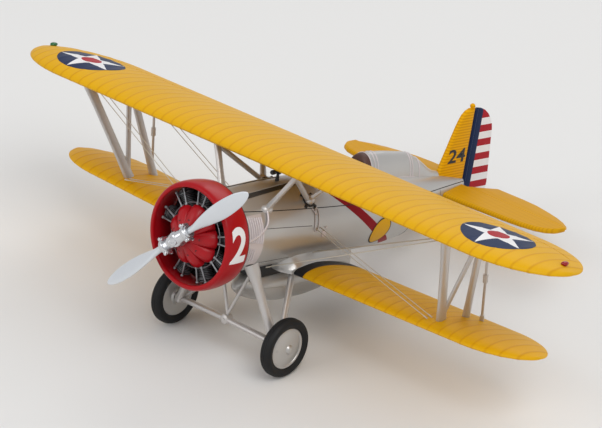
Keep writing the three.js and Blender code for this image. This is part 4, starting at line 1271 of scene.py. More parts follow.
@dataclass
class Fuselage:
    """Shell, decks, headrest, panel lines and fittings of the fuselage."""

    bench: Bench
    seam_half: float = 0.1
    wall: float = 1.0
    band_front: float = -59.4
    band_rear: float = -63.6
    band_slope: float = 1.44
    deck_end: float = -69.0
    emblem: tuple[float, float, float] = (-69.0, -4.4, 4.1)
    trough_y: float = 4.6
    trough_r: float = 1.3
    trough_front: float = -10.0
    trough_rear: float = -38.5
    hump_front: float = -69.3
    hump_length: float = 32.0
    hump_crown: float = 14.55
    hump_half: float = 3.95
    hump_keys: tuple[float, ...] = (0, 0.22, 0.43, 0.5, 0.56, 0.62, 0.7, 0.77, 0.87, 0.94, 1)
    hump_shares: tuple[float, ...] = (1, 0.958, 0.893, 0.868, 0.83, 0.77, 0.68, 0.59, 0.445, 0.37, 0.34)

    def build(self) -> None:
        """Builds the fuselage."""
        self.shell()
        self.forward_deck()
        self.rear_deck()
        self.panel_lines()
        self.louvres()
        self.handholds()
        self.emblems()

    def skin(self, front: float, rear: float, count: int) -> BMesh:
        """Gives the open skin between two places."""
        return loft(FUSELAGE.rings(front, rear, count), caps=False)

    def seam_plane(self, way: int) -> tuple[Vector, Vector]:
        """Gives the plane just above or below the joint of the shell and the decks."""
        x = FUSELAGE.front_x
        slope = (FUSELAGE.seam_front - FUSELAGE.seam_rear) / FUSELAGE.length
        return point(x, 0, FUSELAGE.seam_z(x) + way * self.seam_half), Vector((-slope, 0, 1))

    def banded(self, bm: BMesh, index: int) -> BMesh:
        """Paints the slanting band.

        Args:
            bm: skin of the fuselage.
            index: number of the band's finish.

        Returns:
            The same skin.
        """
        normal = Vector((1, 0, -self.band_slope)).normalized()
        for x in (self.band_front, self.band_rear):
            split(bm, point(x, 0, 0), normal)
        return painted(bm, index, lambda p: self.band_rear < p.x - self.band_slope * p.z < self.band_front)

    def shell(self) -> None:
        """Builds the lower shell up to the joint."""
        bm = self.skin(FUSELAGE.front_x, FUSELAGE.front_x - FUSELAGE.length, 72)
        place, normal = self.seam_plane(-1)
        self.banded(trimmed(bm, place, normal), 1)
        rear = [e for e in bm.edges if e.is_boundary and min(v.co.x for v in e.verts) < -113.05]
        bmesh.ops.holes_fill(bm, edges=rear, sides=0)
        self.bench.piece(
            "fuselage_skin", walled(bm, self.wall), [SILVER_LACQUER, BAND_RED], "silver_paint",
            stands_for=["fuselage_shell"],
        )

    def forward_deck(self) -> None:
        """Builds the deck from the firewall to the headrest, with its troughs and cockpit opening."""
        bm = self.skin(FUSELAGE.front_x, self.deck_end, 48)
        place, normal = self.seam_plane(1)
        trimmed(bm, place, -normal)
        bm = walled(bm, 1.6)
        hole = spun([(0, -30), (1, -30), (1, 30), (0, 30)], 64, "Z")
        moved(hole, Matrix.Translation((-57.0, 0, 30)) @ Matrix.Diagonal((7.5, 5.6, 1, 1)))
        troughs = [
            tube([point(self.trough_front, way * self.trough_y, 10.4),
                  point(self.trough_rear, way * self.trough_y * 0.62, 11.3)],
                 [self.trough_r, self.trough_r * 0.8], 20)
            for way in SIDES.values()
        ]
        bm = carved(bm, [hole, *troughs])
        self.banded(bm, 1)

        def in_trough(p: Vector) -> bool:
            """Tells whether a face lies in a gun trough."""
            along = (self.trough_front - p.x) / (self.trough_front - self.trough_rear)
            middle = self.trough_y * (1 - 0.38 * along)
            return (
                p.x > -38.9
                and abs(abs(p.y) - middle) < self.trough_r
                and p.z < FUSELAGE.at(p.x).crown * math.sqrt(1 - (p.y / FUSELAGE.half_width) ** 2) - 0.1
                and p.z > 8.6
            )

        painted(bm, 2, in_trough)
        self.bench.piece(
            "forward_deck_skin", bm, [SILVER_LACQUER, BAND_RED, TROUGH_GREY], "silver_paint",
            stands_for=["forward_deck"],
        )

    def hump_ring(self, x: float, offset: float = 0.0, around: int = 48) -> list[Vector]:
        """Gives a ring of the headrest hump.

        Args:
            x: place along the fuselage.
            offset: distance off its skin.
            around: number of points.

        Returns:
            The ring.
        """
        along = min(1.0, max(0.0, (self.hump_front - x) / self.hump_length))
        crown = self.hump_crown * curve_value_at(self.hump_keys, self.hump_shares, along) + offset
        base = FUSELAGE.seam_z(x) - 1.2
        width = self.hump_half * (1 - 0.62 * along**1.9) + offset
        ring = []
        for i in range(around):
            angle = TURN * i / around
            c, s = math.cos(angle), math.sin(angle)
            rise = (crown - base) * s**0.85 if s > 0 else s * 0.5
            ring.append(point(x, width * c, base + rise))
        return ring

    def rear_deck(self) -> None:
        """Builds the deck behind the cockpit with the headrest hump and its straps."""
        bm = self.skin(self.deck_end - 0.15, FUSELAGE.front_x - FUSELAGE.length, 44)
        place, normal = self.seam_plane(1)
        bm = walled(trimmed(bm, place, -normal), self.wall)
        hump = loft([self.hump_ring(x) for x in spread(-69.15, -101.5, 30)])
        hump = trimmed(hump, place, -normal)
        rims = [e for e in hump.edges if e.is_boundary]
        bmesh.ops.holes_fill(hump, edges=rims, sides=0)
        self.bench.piece(
            "headrest_deck_skin", carved(bm, [hump], "UNION"), SILVER_LACQUER, "silver_paint",
            stands_for=["headrest_deck"],
        )
        straps = []
        for x in (-70.6, -71.9, -86.3, -87.4, -90.9):
            ring = self.hump_ring(x, 0.02)
            straps.append(tube([p for p in ring[:25] if p.z > FUSELAGE.seam_z(x) + 1.2], 0.17, 8))
        edges = [
            tube([self.hump_ring(x)[3 if way > 0 else 21] for x in spread(-70.5, -96, 20)], 0.13, 8)
            for way in SIDES.values()
        ]
        self.bench.piece("headrest_straps", gathered(straps + edges), PALE_LACQUER, "silver_paint")

    def panel_lines(self) -> None:
        """Builds the dark lines between panels."""
        lines = []
        for way in SIDES.values():
            runs = [[(-21.5, 3.3), (-30, 2.6), (-38.6, 1.85)], [(-22.5, -6.6), (-34, -6.9)]]
            for run in runs:
                xs, zs = [x for x, _ in run], [z for _, z in run]
                path = [
                    FUSELAGE.side(curve_value(xs, u), curve_value(zs, u), way, 0.0) for u in spread(0, 1, 24)
                ]
                lines.append(tube(path, 0.085, 6))
            for x in (-84.5, -98.0):
                top = FUSELAGE.seam_z(x) - 0.3
                path = [FUSELAGE.side(x, z, way, 0.0) for z in spread(top, -FUSELAGE.at(x).keel * 0.93, 20)]
                lines.append(tube(path, 0.07, 6))
        self.bench.piece("panel_lines_grey", gathered(lines), SEAM_GREY, "silver_paint")
        liner = []
        for way in SIDES.values():
            path = [FUSELAGE.side(x, FUSELAGE.seam_z(x), way, -0.28) for x in spread(-13.2, -108, 60)]
            liner.append(tube(path, 0.24, 6))
        self.bench.piece("deck_joint_shadow", gathered(liner), SEAM_BLACK, "silver_paint")

    def louvres(self) -> None:
        """Builds the ribbed side panels behind the cowl with their bright pipe."""
        for name, way in SIDES.items():
            sheet = loft([
                [FUSELAGE.skin(x, angle, offset) for x, offset in ((-13.4, 0.02), (-13.4, 0.3), (-20.3, 0.3),
                                                                   (-20.6, 0.02))]
                for angle in spread(-34, 40, 20)
            ])
            parts = [sheet]
            for i in range(9):
                x = -13.7 - 0.76 * i
                path = [FUSELAGE.skin(x, angle, 0.34) for angle in spread(39 - 0.5 * i, 5 - i * 0.7, 12)]
                parts.append(tube(path, 0.25, 10))
            for i in range(6):
                x = -13.7 - 0.76 * i
                path = [FUSELAGE.skin(x - 0.035 * j, angle, 0.34)
                        for j, angle in enumerate(spread(-2 - i * 1.2, -31 + i * 1.2, 12))]
                parts.append(tube(path, 0.25, 10))
            self.bench.piece(
                f"cooling_louvres_{name}", sided(gathered(parts), way), PALE_LACQUER, "silver_paint",
                stands_for=[f"louvre_panel_{name}"],
            )
            xs, zs = (-22.7, -22.6, -21.7, -19.4, -16.7, -14.4), (7.3, 6.4, 4.4, 2.6, 1.4, 0.8)
            path = [FUSELAGE.side(curve_value(xs, u), curve_value(zs, u), way, 0.42)
                    for u in spread(0, 1, 26)]
            self.bench.piece(f"breather_pipe_{name}", tube(path, 0.3, 12), PALE_LACQUER, "silver_paint")

    def handholds(self) -> None:
        """Builds the loop handhold, the step and the wire plate on each side."""
        for name, way in SIDES.items():
            loop = []
            for i in range(41):
                angle = TURN * i / 40
                u = 0.72 * math.copysign(abs(math.cos(angle)) ** 0.7, math.cos(angle))
                v = 2.85 * math.copysign(abs(math.sin(angle)) ** 0.55, math.sin(angle))
                loop.append(FUSELAGE.side(-40.5 + u - 0.12 * v, 3.0 + v, way, 0.12))
            parts = [tube(loop, 0.13, 8)]
            step = [FUSELAGE.side(-39.3, 5.9, way, 0.1), FUSELAGE.side(-39.9, 4.9, way, 0.3),
                    FUSELAGE.side(-40.6, 4.4, way, 0.2)]
            parts.append(tube(step, 0.16, 8))
            plate_place = FUSELAGE.side(-43.6, -0.9, way, 0.05)
            parts.append(block((1.6, 0.34, 1.7), plate_place, 0.12))
            parts.append(block((0.7, 0.5, 0.3), FUSELAGE.side(-44.0, 0.75, way, 0.1), 0.08))
            self.bench.piece(f"handhold_{name}", gathered(parts), PALE_LACQUER, "silver_paint")
            shadow = [p - point(0, way * 0.1, 0) for p in loop]
            self.bench.piece(f"handhold_shadow_{name}", tube(shadow, 0.17, 8), SOFT_GREY, "silver_paint")

    def emblems(self) -> None:
        """Lays a plain yellow disc with a dark rim on each side."""
        x, z, radius = self.emblem
        for name, way in SIDES.items():
            def on_side(lift: float, way: int = way) -> Callable[[float, float], Vector]:
                """Gives the place on the side of the fuselage with a lift."""
                return lambda u, v: FUSELAGE.side(-u * way, v, way, lift)

            films = [
                painted(decal(ring_outline(-x * way, z, radius), 0.5, on_side(0.05)), 0),
                painted(decal(ring_outline(-x * way, z, radius * 0.91), 0.5, on_side(0.08)), 1),
            ]
            self.bench.piece(
                f"plain_disc_{name}", gathered(films), [SEAM_BLACK, PLAIN_YELLOW], "silver_paint", crease=50
            )


@dataclass
class Cockpit:
    """Cockpit coaming, screen frame, headrest pad, gun sight and the kept interior pieces."""

    bench: Bench
    centre_x: float = -57.0
    half_length: float = 7.5
    half_width: float = 5.6
    screen_half: float = 4.2
    screen_x: float = -46.8
    pad_rear: float = -69.0
    pad_depth: float = 2.85
    pad_half: float = 3.8
    pad_top: float = 14.4

    def build(self) -> None:
        """Builds the cockpit."""
        self.coaming()
        self.screen()
        self.pad()
        self.sight()
        self.dials()
        keep = self.bench.keep
        keep(INTERIOR, "cockpit_tub")
        keep(SEAT_GREY, "pilot_seat")
        keep(BLACK_ABS_AND_SHADOW, "control_stick", "instrument_panel", "firewall")
        keep(CLEAR_ACRYLIC, "windscreen")

    def coaming(self) -> None:
        """Builds the rolled leather edge round the opening."""
        path = []
        for i in range(61):
            angle = TURN * i / 60
            x = self.centre_x + self.half_length * math.cos(angle)
            y = self.half_width * math.sin(angle)
            section = FUSELAGE.at(x)
            path.append(point(x, y, section.crown * math.sqrt(1 - (y / section.width) ** 2) + 0.05))
        self.bench.piece("cockpit_coaming", tube(path, 0.42, 12), LEATHER, "brown_pad")

    def screen(self) -> None:
        """Builds the metal frame of the windscreen."""
        crown = FUSELAGE.at(self.screen_x).crown
        w = self.screen_half

        def corner(across: float, dx: float, up: float) -> Vector:
            """Gives a corner of the screen from its base, 0, to its top, 1."""
            size = 1.05 - 0.25 * up
            return point(self.screen_x - 1.6 * up + dx * size, across * size, crown - 3 + 6.6 * up)

        rim = [corner(a, d, 1.0) for a, d in ((-w, -2.4), (-w * 0.45, 0.9), (w * 0.45, 0.9), (w, -2.4))]
        bars = [tube(rim, 0.17, 10)]
        for across in (-1, 1):
            bars.append(tube([corner(across * w * 0.45, 0.9, u) for u in (0.42, 1.0)], 0.15, 10))
            bars.append(tube([corner(across * w, -2.4, u) for u in (0.25, 1.0)], 0.15, 10))
        self.bench.piece("windscreen_frame", gathered(bars), STRUT_LACQUER, "silver_paint")

    def pad(self) -> None:
        """Builds the bulging headrest pad with its piped edge."""
        base = FUSELAGE.at(self.pad_rear).crown - 1.5
        full = self.pad_top - base
        fore = (0, 0.12, 0.4, 0.7, 0.88, 0.97, 1.0)
        size = (0.96, 1.0, 0.99, 0.93, 0.8, 0.5, 0.02)

        def ring(forward: float, share: float) -> list[Vector]:
            """Gives a ring of the pad."""
            points = []
            for i in range(40):
                angle = TURN * i / 40
                c, s = math.cos(angle), math.sin(angle)
                rise = full * abs(s) ** 0.85 if s > 0 else -0.5 * abs(s)
                middle = base + full * 0.45
                points.append(point(self.pad_rear + forward * self.pad_depth, self.pad_half * share * c,
                                    middle + (base + rise - middle) * share))
            return points

        rings = [ring(curve_value(fore, u), curve_value(size, u)) for u in spread(0, 1, 16)]
        pad = self.bench.piece(
            "headrest_cushion", loft(rings), LEATHER, "brown_pad", stands_for=["headrest_pad"], crease=60
        )
        edge = [p for p in ring(0.1, 1.01) if p.z > base + 0.5]
        edge.sort(key=lambda p: math.atan2(p.z - base, p.y))
        self.bench.piece("headrest_piping", tube(edge, 0.16, 8), PALE_LACQUER, "silver_paint")

    def sight(self) -> None:
        """Builds the tubular gun sight with its rings and posts."""
        z = FUSELAGE.at(-32.3).crown + 2.5
        parts = [spun([(0, 0), (0.5, 0), (0.62, -0.2), (0.62, -1.2), (0.5, -1.5), (0.5, -12.2), (0.66, -12.6),
                       (0.66, -13.9), (0.4, -14.2), (0, -14.2)], 24)]
        moved(parts[0], Matrix.Translation((-32.3, 0, z)))
        for x in (-35.0, -44.0):
            foot = FUSELAGE.at(x).crown
            parts.append(strut(point(x, 0, foot - 0.2), point(x, 0, z), (1.5, 1.0, 0.9), (0.9, 0.6, 0.6)))
            clamp = spun([(0.5, -0.35), (0.82, -0.35), (0.82, 0.35), (0.5, 0.35)], 24)
            parts.append(moved(clamp, Matrix.Translation((x, 0, z))))
        self.bench.piece("gun_sight", gathered(parts), BLACK_ABS_AND_SHADOW, "black_plastic", stands_for=["gunsight"])

    def dials(self) -> None:
        """Builds round dials with bezels on the panel."""
        low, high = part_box("instrument_panel")
        face = self.bench.datum.place.inverted() @ point(low.x, 0, (low.z + high.z) / 2)
        bezels, glasses = [], []
        for y, dz in ((-2.7, 1.2), (0, 1.4), (2.7, 1.2), (-1.5, -1.0), (1.5, -1.0)):
            place = Matrix.Translation((face.x + 0.02, y, face.z + dz))
            bezel = spun([(0.72, 0.1), (0.95, 0.1), (0.95, -0.2), (0.8, -0.28), (0.72, -0.2)], 24)
            bezels.append(moved(bezel, place))
            glasses.append(moved(spun([(0, 0.1), (0.72, 0.1), (0.72, -0.1), (0, -0.1)], 24), place))
        self.bench.piece("dial_bezels", gathered(bezels), NICKEL_STEEL, "bright_steel")
        self.bench.piece("dial_faces", gathered(glasses), WHITE_ENAMEL, "interior_green")


# ---- nose


class Digits(Enum):
    """Plain numbers painted on the model."""

    COWL = "2"
    FIN = "24"


def lettering(text: str, width: float, height: float, weight: float, cell: float) -> BMesh:
    """Makes flat digits of a given size with faces small enough to bend.

    Args:
        text: digits to draw.
        width: overall width.
        height: overall height.
        weight: extra stroke width, as a share of the font's size.
        cell: greatest length of a face.

    Returns:
        The digits, from the origin along X and Y.
    """
    curve = bpy.data.curves.new("digits", "FONT")
    curve.body, curve.offset, curve.resolution_u = text, weight, 6
    obj = bpy.data.objects.new("digits", curve)
    bpy.context.scene.collection.objects.link(obj)
    mesh = bpy.data.meshes.new_from_object(obj.evaluated_get(bpy.context.evaluated_depsgraph_get()))
    bm = bmesh.new()
    bm.from_mesh(mesh)
    bpy.data.objects.remove(obj)
    bpy.data.curves.remove(curve)
    bpy.data.meshes.remove(mesh)
    bmesh.ops.remove_doubles(bm, verts=bm.verts, dist=1e-5)
    xs, ys = [v.co.x for v in bm.verts], [v.co.y for v in bm.verts]
    size = Matrix.Diagonal((width / (max(xs) - min(xs)), height / (max(ys) - min(ys)), 1, 1))
    bmesh.ops.transform(bm, matrix=size @ Matrix.Translation((-min(xs), -min(ys), 0)), verts=bm.verts)
    for axis, extent in ((0, width), (1, height)):
        normal = Vector((1, 0, 0) if axis == 0 else (0, 1, 0))
        for i in range(1, round(extent / cell)):
            split(bm, normal * extent * i / round(extent / cell), normal)
    return bm


@dataclass
class Nose:
    """Ring cowl, radial engine and its cover."""

    bench: Bench
    cylinders: int = 9
    centre_x: float = -9.3
    head_r: float = 12.6
    cowl_x: tuple[float, ...] = (-4.3, -4.42, -4.9, -5.9, -7.3, -9.2, -10.8, -12.3)
    cowl_r: tuple[float, ...] = (13.0, 13.45, 13.86, 14.08, 14.15, 14.08, 13.9, 13.6)

    def build(self) -> None:
        """Builds the nose."""
        self.cowl()
        self.number()
        self.engine()
        self.rods()
        self.cover()

    def cowl_radius(self, x: float) -> float:
        """Gives the outer radius of the cowl at a place along it."""
        for (x0, r0), (x1, r1) in pairwise(zip(self.cowl_x, self.cowl_r)):
            if x1 <= x <= x0:
                return r0 + (r1 - r0) * (x - x0) / (x1 - x0)
        return self.cowl_r[-1]

    def cowl(self) -> None:
        """Builds the ring cowl with its rolled lip and dark rear edge."""
        outer = [(curve_value(self.cowl_r, u), curve_value(self.cowl_x, u)) for u in spread(0, 1, 36)]
        inner = [(13.25, -12.3), (13.2, -11), (13.1, -9.2), (13.0, -7.6), (12.8, -6.3), (12.6, -5.4),
                 (12.5, -4.85), (12.54, -4.55), (12.7, -4.35), (13.0, -4.3)]
        bm = spun(outer + inner, 120)
        painted(bm, 1, lambda p: p.x < -12.1 and math.hypot(p.y, p.z) > 13.3)
        painted(bm, 2, lambda p: math.hypot(p.y, p.z) < 12.95 and p.x < -5.6)
        self.bench.piece(
            "ring_cowl_skin", bm, [RED_ENAMEL, SEAM_BLACK, DARK_RED_ENAMEL], "red_paint",
            stands_for=["ring_cowl"],
        )

    def number(self) -> None:
        """Lays a plain digit on each side of the cowl."""
        for name, way in SIDES.items():
            film = lettering(Digits.COWL.value, 5.4, 9.6, 0.03, 0.45)
            for vert in film.verts:
                u, v = vert.co.x, vert.co.y
                x = -5.6 - u if way > 0 else -11.0 + u
                radius = self.cowl_radius(x) + 0.05
                angle = math.radians(-11.5) + v / radius
                vert.co = point(x, way * radius * math.cos(angle), radius * math.sin(angle))
            self.bench.piece(f"cowl_number_{name}", walled(film, 0.03), WHITE_ENAMEL, "red_paint", crease=50)

    def around(self, i: int) -> Matrix:
        """Gives the turn from the top cylinder to another."""
        return Matrix.Rotation(TURN * i / self.cylinders, 4, "X")

    def engine(self) -> None:
        """Builds the crankcase and its finned cylinders."""
        profile = [(0, 6.0), (1.35, 6.0), (1.35, 6.9)]
        fins, low, high = 9, 6.9, 10.9
        pitch = (high - low) / fins
        for i in range(fins):
            z = low + i * pitch
            profile += [(1.35, z + pitch * 0.5), (1.78, z + pitch * 0.55), (1.78, z + pitch * 0.9),
                        (1.35, z + pitch * 0.95)]
        profile += [(1.5, high + 0.1), (1.95, high + 0.15), (1.95, high + 0.45), (1.6, high + 0.5),
                    (1.6, high + 0.8), (1.9, high + 0.85), (1.85, high + 1.15), (1.3, high + 1.5),
                    (0.6, self.head_r), (0, self.head_r)]
        barrel = spun(profile, 22, "Z")
        # Painted highlight: the outer fin faces take the lighter grey.
        painted(barrel, 1, lambda p: math.hypot(p.x, p.y) > 1.6)
        boxes = [block((1.5, 0.95, 1.0), point(1.15, across, self.head_r - 1.05), 0.28, 2)
                 for across in (-0.95, 0.95)]
        ports = [
            tube([point(-0.8, across, 10.8), point(-1.9, across * 1.3, 10.2), point(-2.6, across * 1.4, 8.6)],
                 0.5, 10) for across in (-1.0, 1.0)
        ]
        one = moved(gathered([barrel, *boxes, *ports]), Matrix.Translation((self.centre_x, 0, 0)))
        ring = copied(one, [self.around(i) for i in range(self.cylinders)])
        baffle = spun([(6.2, -11.7), (12.9, -11.7), (12.9, -12.0), (6.2, -12.0), (6.2, -11.7)], 72)
        self.bench.piece("engine_baffle", baffle, BLACK_ABS_AND_SHADOW, "black_plastic")
        core = spun([(0.9, -13), (4.8, -13), (6.2, -12.2), (6.5, -11.4), (6.5, -7.4), (6.2, -7.0),
                     (0.9, -7.0), (0.9, -13)], 72)
        self.bench.piece(
            "radial_engine", gathered([core, ring]), [CYLINDER_BLACK, FIN_GREY], "black_plastic",
            stands_for=["engine_block"], crease=30,
        )

    def rods(self) -> None:
        """Builds the push-rod tubes in leaning pairs, their nuts and the ignition ring."""
        parts = []
        for across in (-1, 1):
            foot, head = point(-6.95, across * 0.85, 8.0), point(-7.35, across * 1.5, 12.1)
            parts.append(tube([foot, head], 0.24, 10))
            parts.append(tube([foot, foot.lerp(head, 0.12)], 0.4, 10))
            parts.append(dome(head, 0.42, segments=14))
        pair = copied(gathered(parts), [self.around(i) for i in range(self.cylinders)])
        ring = spun([(8.45, -7.15), (8.6, -7.0), (8.45, -6.85), (8.3, -7.0), (8.45, -7.15)], 96)
        self.bench.piece(
            "push_rod_tubes", gathered([pair, ring]), DULL_STEEL, "bright_steel", stands_for=["pushrod_ring"]
        )

    def cover(self) -> None:
        """Builds the lobed crankcase cover with its oil holes."""
        x_keys = (-6.75, -6.6, -6.0, -5.2, -4.5, -3.9, -3.4, -3.05, -2.9)
        r_keys = (7.8, 8.15, 8.0, 7.35, 6.5, 5.4, 4.2, 3.1, 2.4)
        depth = (0.13, 0.16, 0.19, 0.19, 0.17, 0.13, 0.09, 0.04, 0.0)
        rings = []
        for u in spread(0, 1, 26):
            x, r, cut = curve_value(x_keys, u), curve_value(r_keys, u), curve_value(depth, u)
            ring = []
            for i in range(216):
                angle = TURN * i / 216
                wave = abs(math.cos(self.cylinders / 2 * (angle - math.pi / 2))) ** 0.5
                crease = 1 - wave
                radius = r * (1 - cut * crease)
                ring.append(point(x - cut * 4 * crease, radius * math.cos(angle), radius * math.sin(angle)))
            rings.append(ring)
        rings.append([point(-2.9, 1.15 * p.y / 2.4, 1.15 * p.z / 2.4) for p in rings[-1]])
        rings.append([point(-6.75, p.y, p.z) for p in rings[-1]])
        rings.append(rings[0])
        holes = []
        for i in range(self.cylinders):
            bore = spun([(0, -0.25), (0.36, -0.25), (0.36, 0.12), (0.24, 0.16), (0, 0.05)], 16)
            lean = Matrix.Translation((-3.75, 0, 4.65)) @ Matrix.Rotation(math.radians(-48), 4, "Y")
            holes.append(moved(bore, self.around(i) @ lean))
        screws = []
        for i in range(self.cylinders):
            head = spun([(0, 0.1), (0.2, 0.1), (0.26, 0), (0.26, -0.3), (0, -0.3)], 12)
            lean = Matrix.Translation((-6.05, 0, 7.35)) @ Matrix.Rotation(math.radians(-20), 4, "Y")
            screws.append(moved(head, self.around(i) @ lean))
        bm = gathered([loft(rings, caps=False), painted(gathered(holes), 1), gathered(screws)])
        self.bench.piece(
            "crankcase_cover_petals", bm, [DARK_RED_ENAMEL, SEAM_BLACK], "red_paint",
            stands_for=["crankcase_cover"], crease=50,
        )


# ---- propeller


@dataclass
class Propeller:
    """Two-blade propeller with its clamped hub."""

    bench: Bench
    radius: float = 28.575
    rest_angle: float = 42.8
    hub_half: float = 5.4
    hub_r: float = 1.55
    blade_chord: float = 4.5
    shares: tuple[float, ...] = (0.122, 0.2, 0.26, 0.32, 0.4, 0.55, 0.7, 0.84, 0.93, 0.975, 0.995, 1.0)
    chords: tuple[float, ...] = (0.345, 0.345, 0.4, 0.55, 0.75, 0.98, 1.0, 0.86, 0.6, 0.36, 0.17, 0.02)
    depths: tuple[float, ...] = (1.8, 1.8, 1.7, 1.45, 1.2, 0.92, 0.72, 0.56, 0.44, 0.36, 0.28, 0.04)
    angles: tuple[float, ...] = (40, 40, 39, 37, 33, 27, 22, 19, 17, 16, 16, 16)

    def turn(self, extra: float = 0.0) -> Matrix:
        """Gives the turn about the shaft to the rest angle."""
        return Matrix.Rotation(math.radians(self.rest_angle + extra), 4, "X")

    def build(self) -> None:
        """Builds the propeller."""
        for name, extra in (("left", 0), ("right", 180)):
            self.bench.piece(
                f"propeller_blade_skin_{name}", moved(self.blade(), self.turn(extra)), POLISHED_ALUMINIUM,
                "bright_steel", body="propeller", stands_for=[f"propeller_blade_{name}"],
            )
        self.bench.piece(
            "propeller_hub_clamped", moved(self.hub(), self.turn()), NICKEL_STEEL, "bright_steel",
            body="propeller", stands_for=["propeller_hub"],
        )
        self.bench.keep(NICKEL_STEEL, "propeller_shaft")

    def blade(self) -> BMesh:
        """Builds one blade along Y: a round root, then a twisted section with a sharp tail."""
        rings = []
        for u in spread(0, 1, 56):
            share = min(1.0, curve_value(self.shares, u))
            chord = self.blade_chord * max(0.004, curve_value(self.chords, u))
            depth = max(0.03, curve_value(self.depths, u))
            tilt = math.radians(curve_value(self.angles, u))
            long = Vector((math.sin(tilt), 0, math.cos(tilt))) * chord / 2
            wide = Vector((math.cos(tilt), 0, -math.sin(tilt))) * depth / 2
            lead = 0.3 * min(1.0, max(0.0, (share - 0.25) * 5))
            rings.append(oval(point(0, self.radius * share, 0), long, wide, 28, lead))
        return loft(rings)

    def hub(self) -> BMesh:
        """Builds the barrel, its boss, the two clamps and their bolts."""
        half, r = self.hub_half, self.hub_r
        barrel = spun([(0.95, -half), (r - 0.1, -half), (r, -half + 0.15), (r, -2.2), (r + 0.12, -2.0),
                       (r + 0.12, 2.0), (r, 2.2), (r, half - 0.15), (r - 0.1, half), (0.95, half)], 40, "Y")
        boss = spun([(1.15, -1.6), (2.0, -1.6), (2.0, 0.5), (1.85, 0.75), (1.5, 0.9), (1.5, 1.45),
                     (1.3, 1.62), (0.9, 1.67), (0.75, 1.45), (0, 1.5), (0, 0.9)], 40)
        parts = [barrel, boss]
        for way in (-1, 1):
            y = way * (half - 1.1)
            band = spun([(r, y - 0.62), (r + 0.32, y - 0.62), (r + 0.4, y - 0.5), (r + 0.4, y + 0.5),
                         (r + 0.32, y + 0.62), (r, y + 0.62)], 40, "Y")
            parts.append(band)
            for up in (-1, 1):
                parts.append(block((2.0, 1.0, 0.8), point(0, y, up * (r + 0.35)), 0.18))
                bolt = spun([(0, -1.35), (0.3, -1.35), (0.46, -1.2), (0.46, -0.95), (0.24, -0.9), (0.24, 0.9),
                             (0.5, 0.95), (0.5, 1.3), (0.34, 1.48), (0, 1.5)], 12)
                parts.append(moved(bolt, Matrix.Translation((0, y, up * (r + 0.4)))))
        for y in (-1.2, 1.2):
            rivet = dome(point(r + 0.1, y, 0), 0.28, Vector((0.6, 1, 1)), 12)
            parts.append(rivet)
        return gathered(parts)


# ---- undercarriage


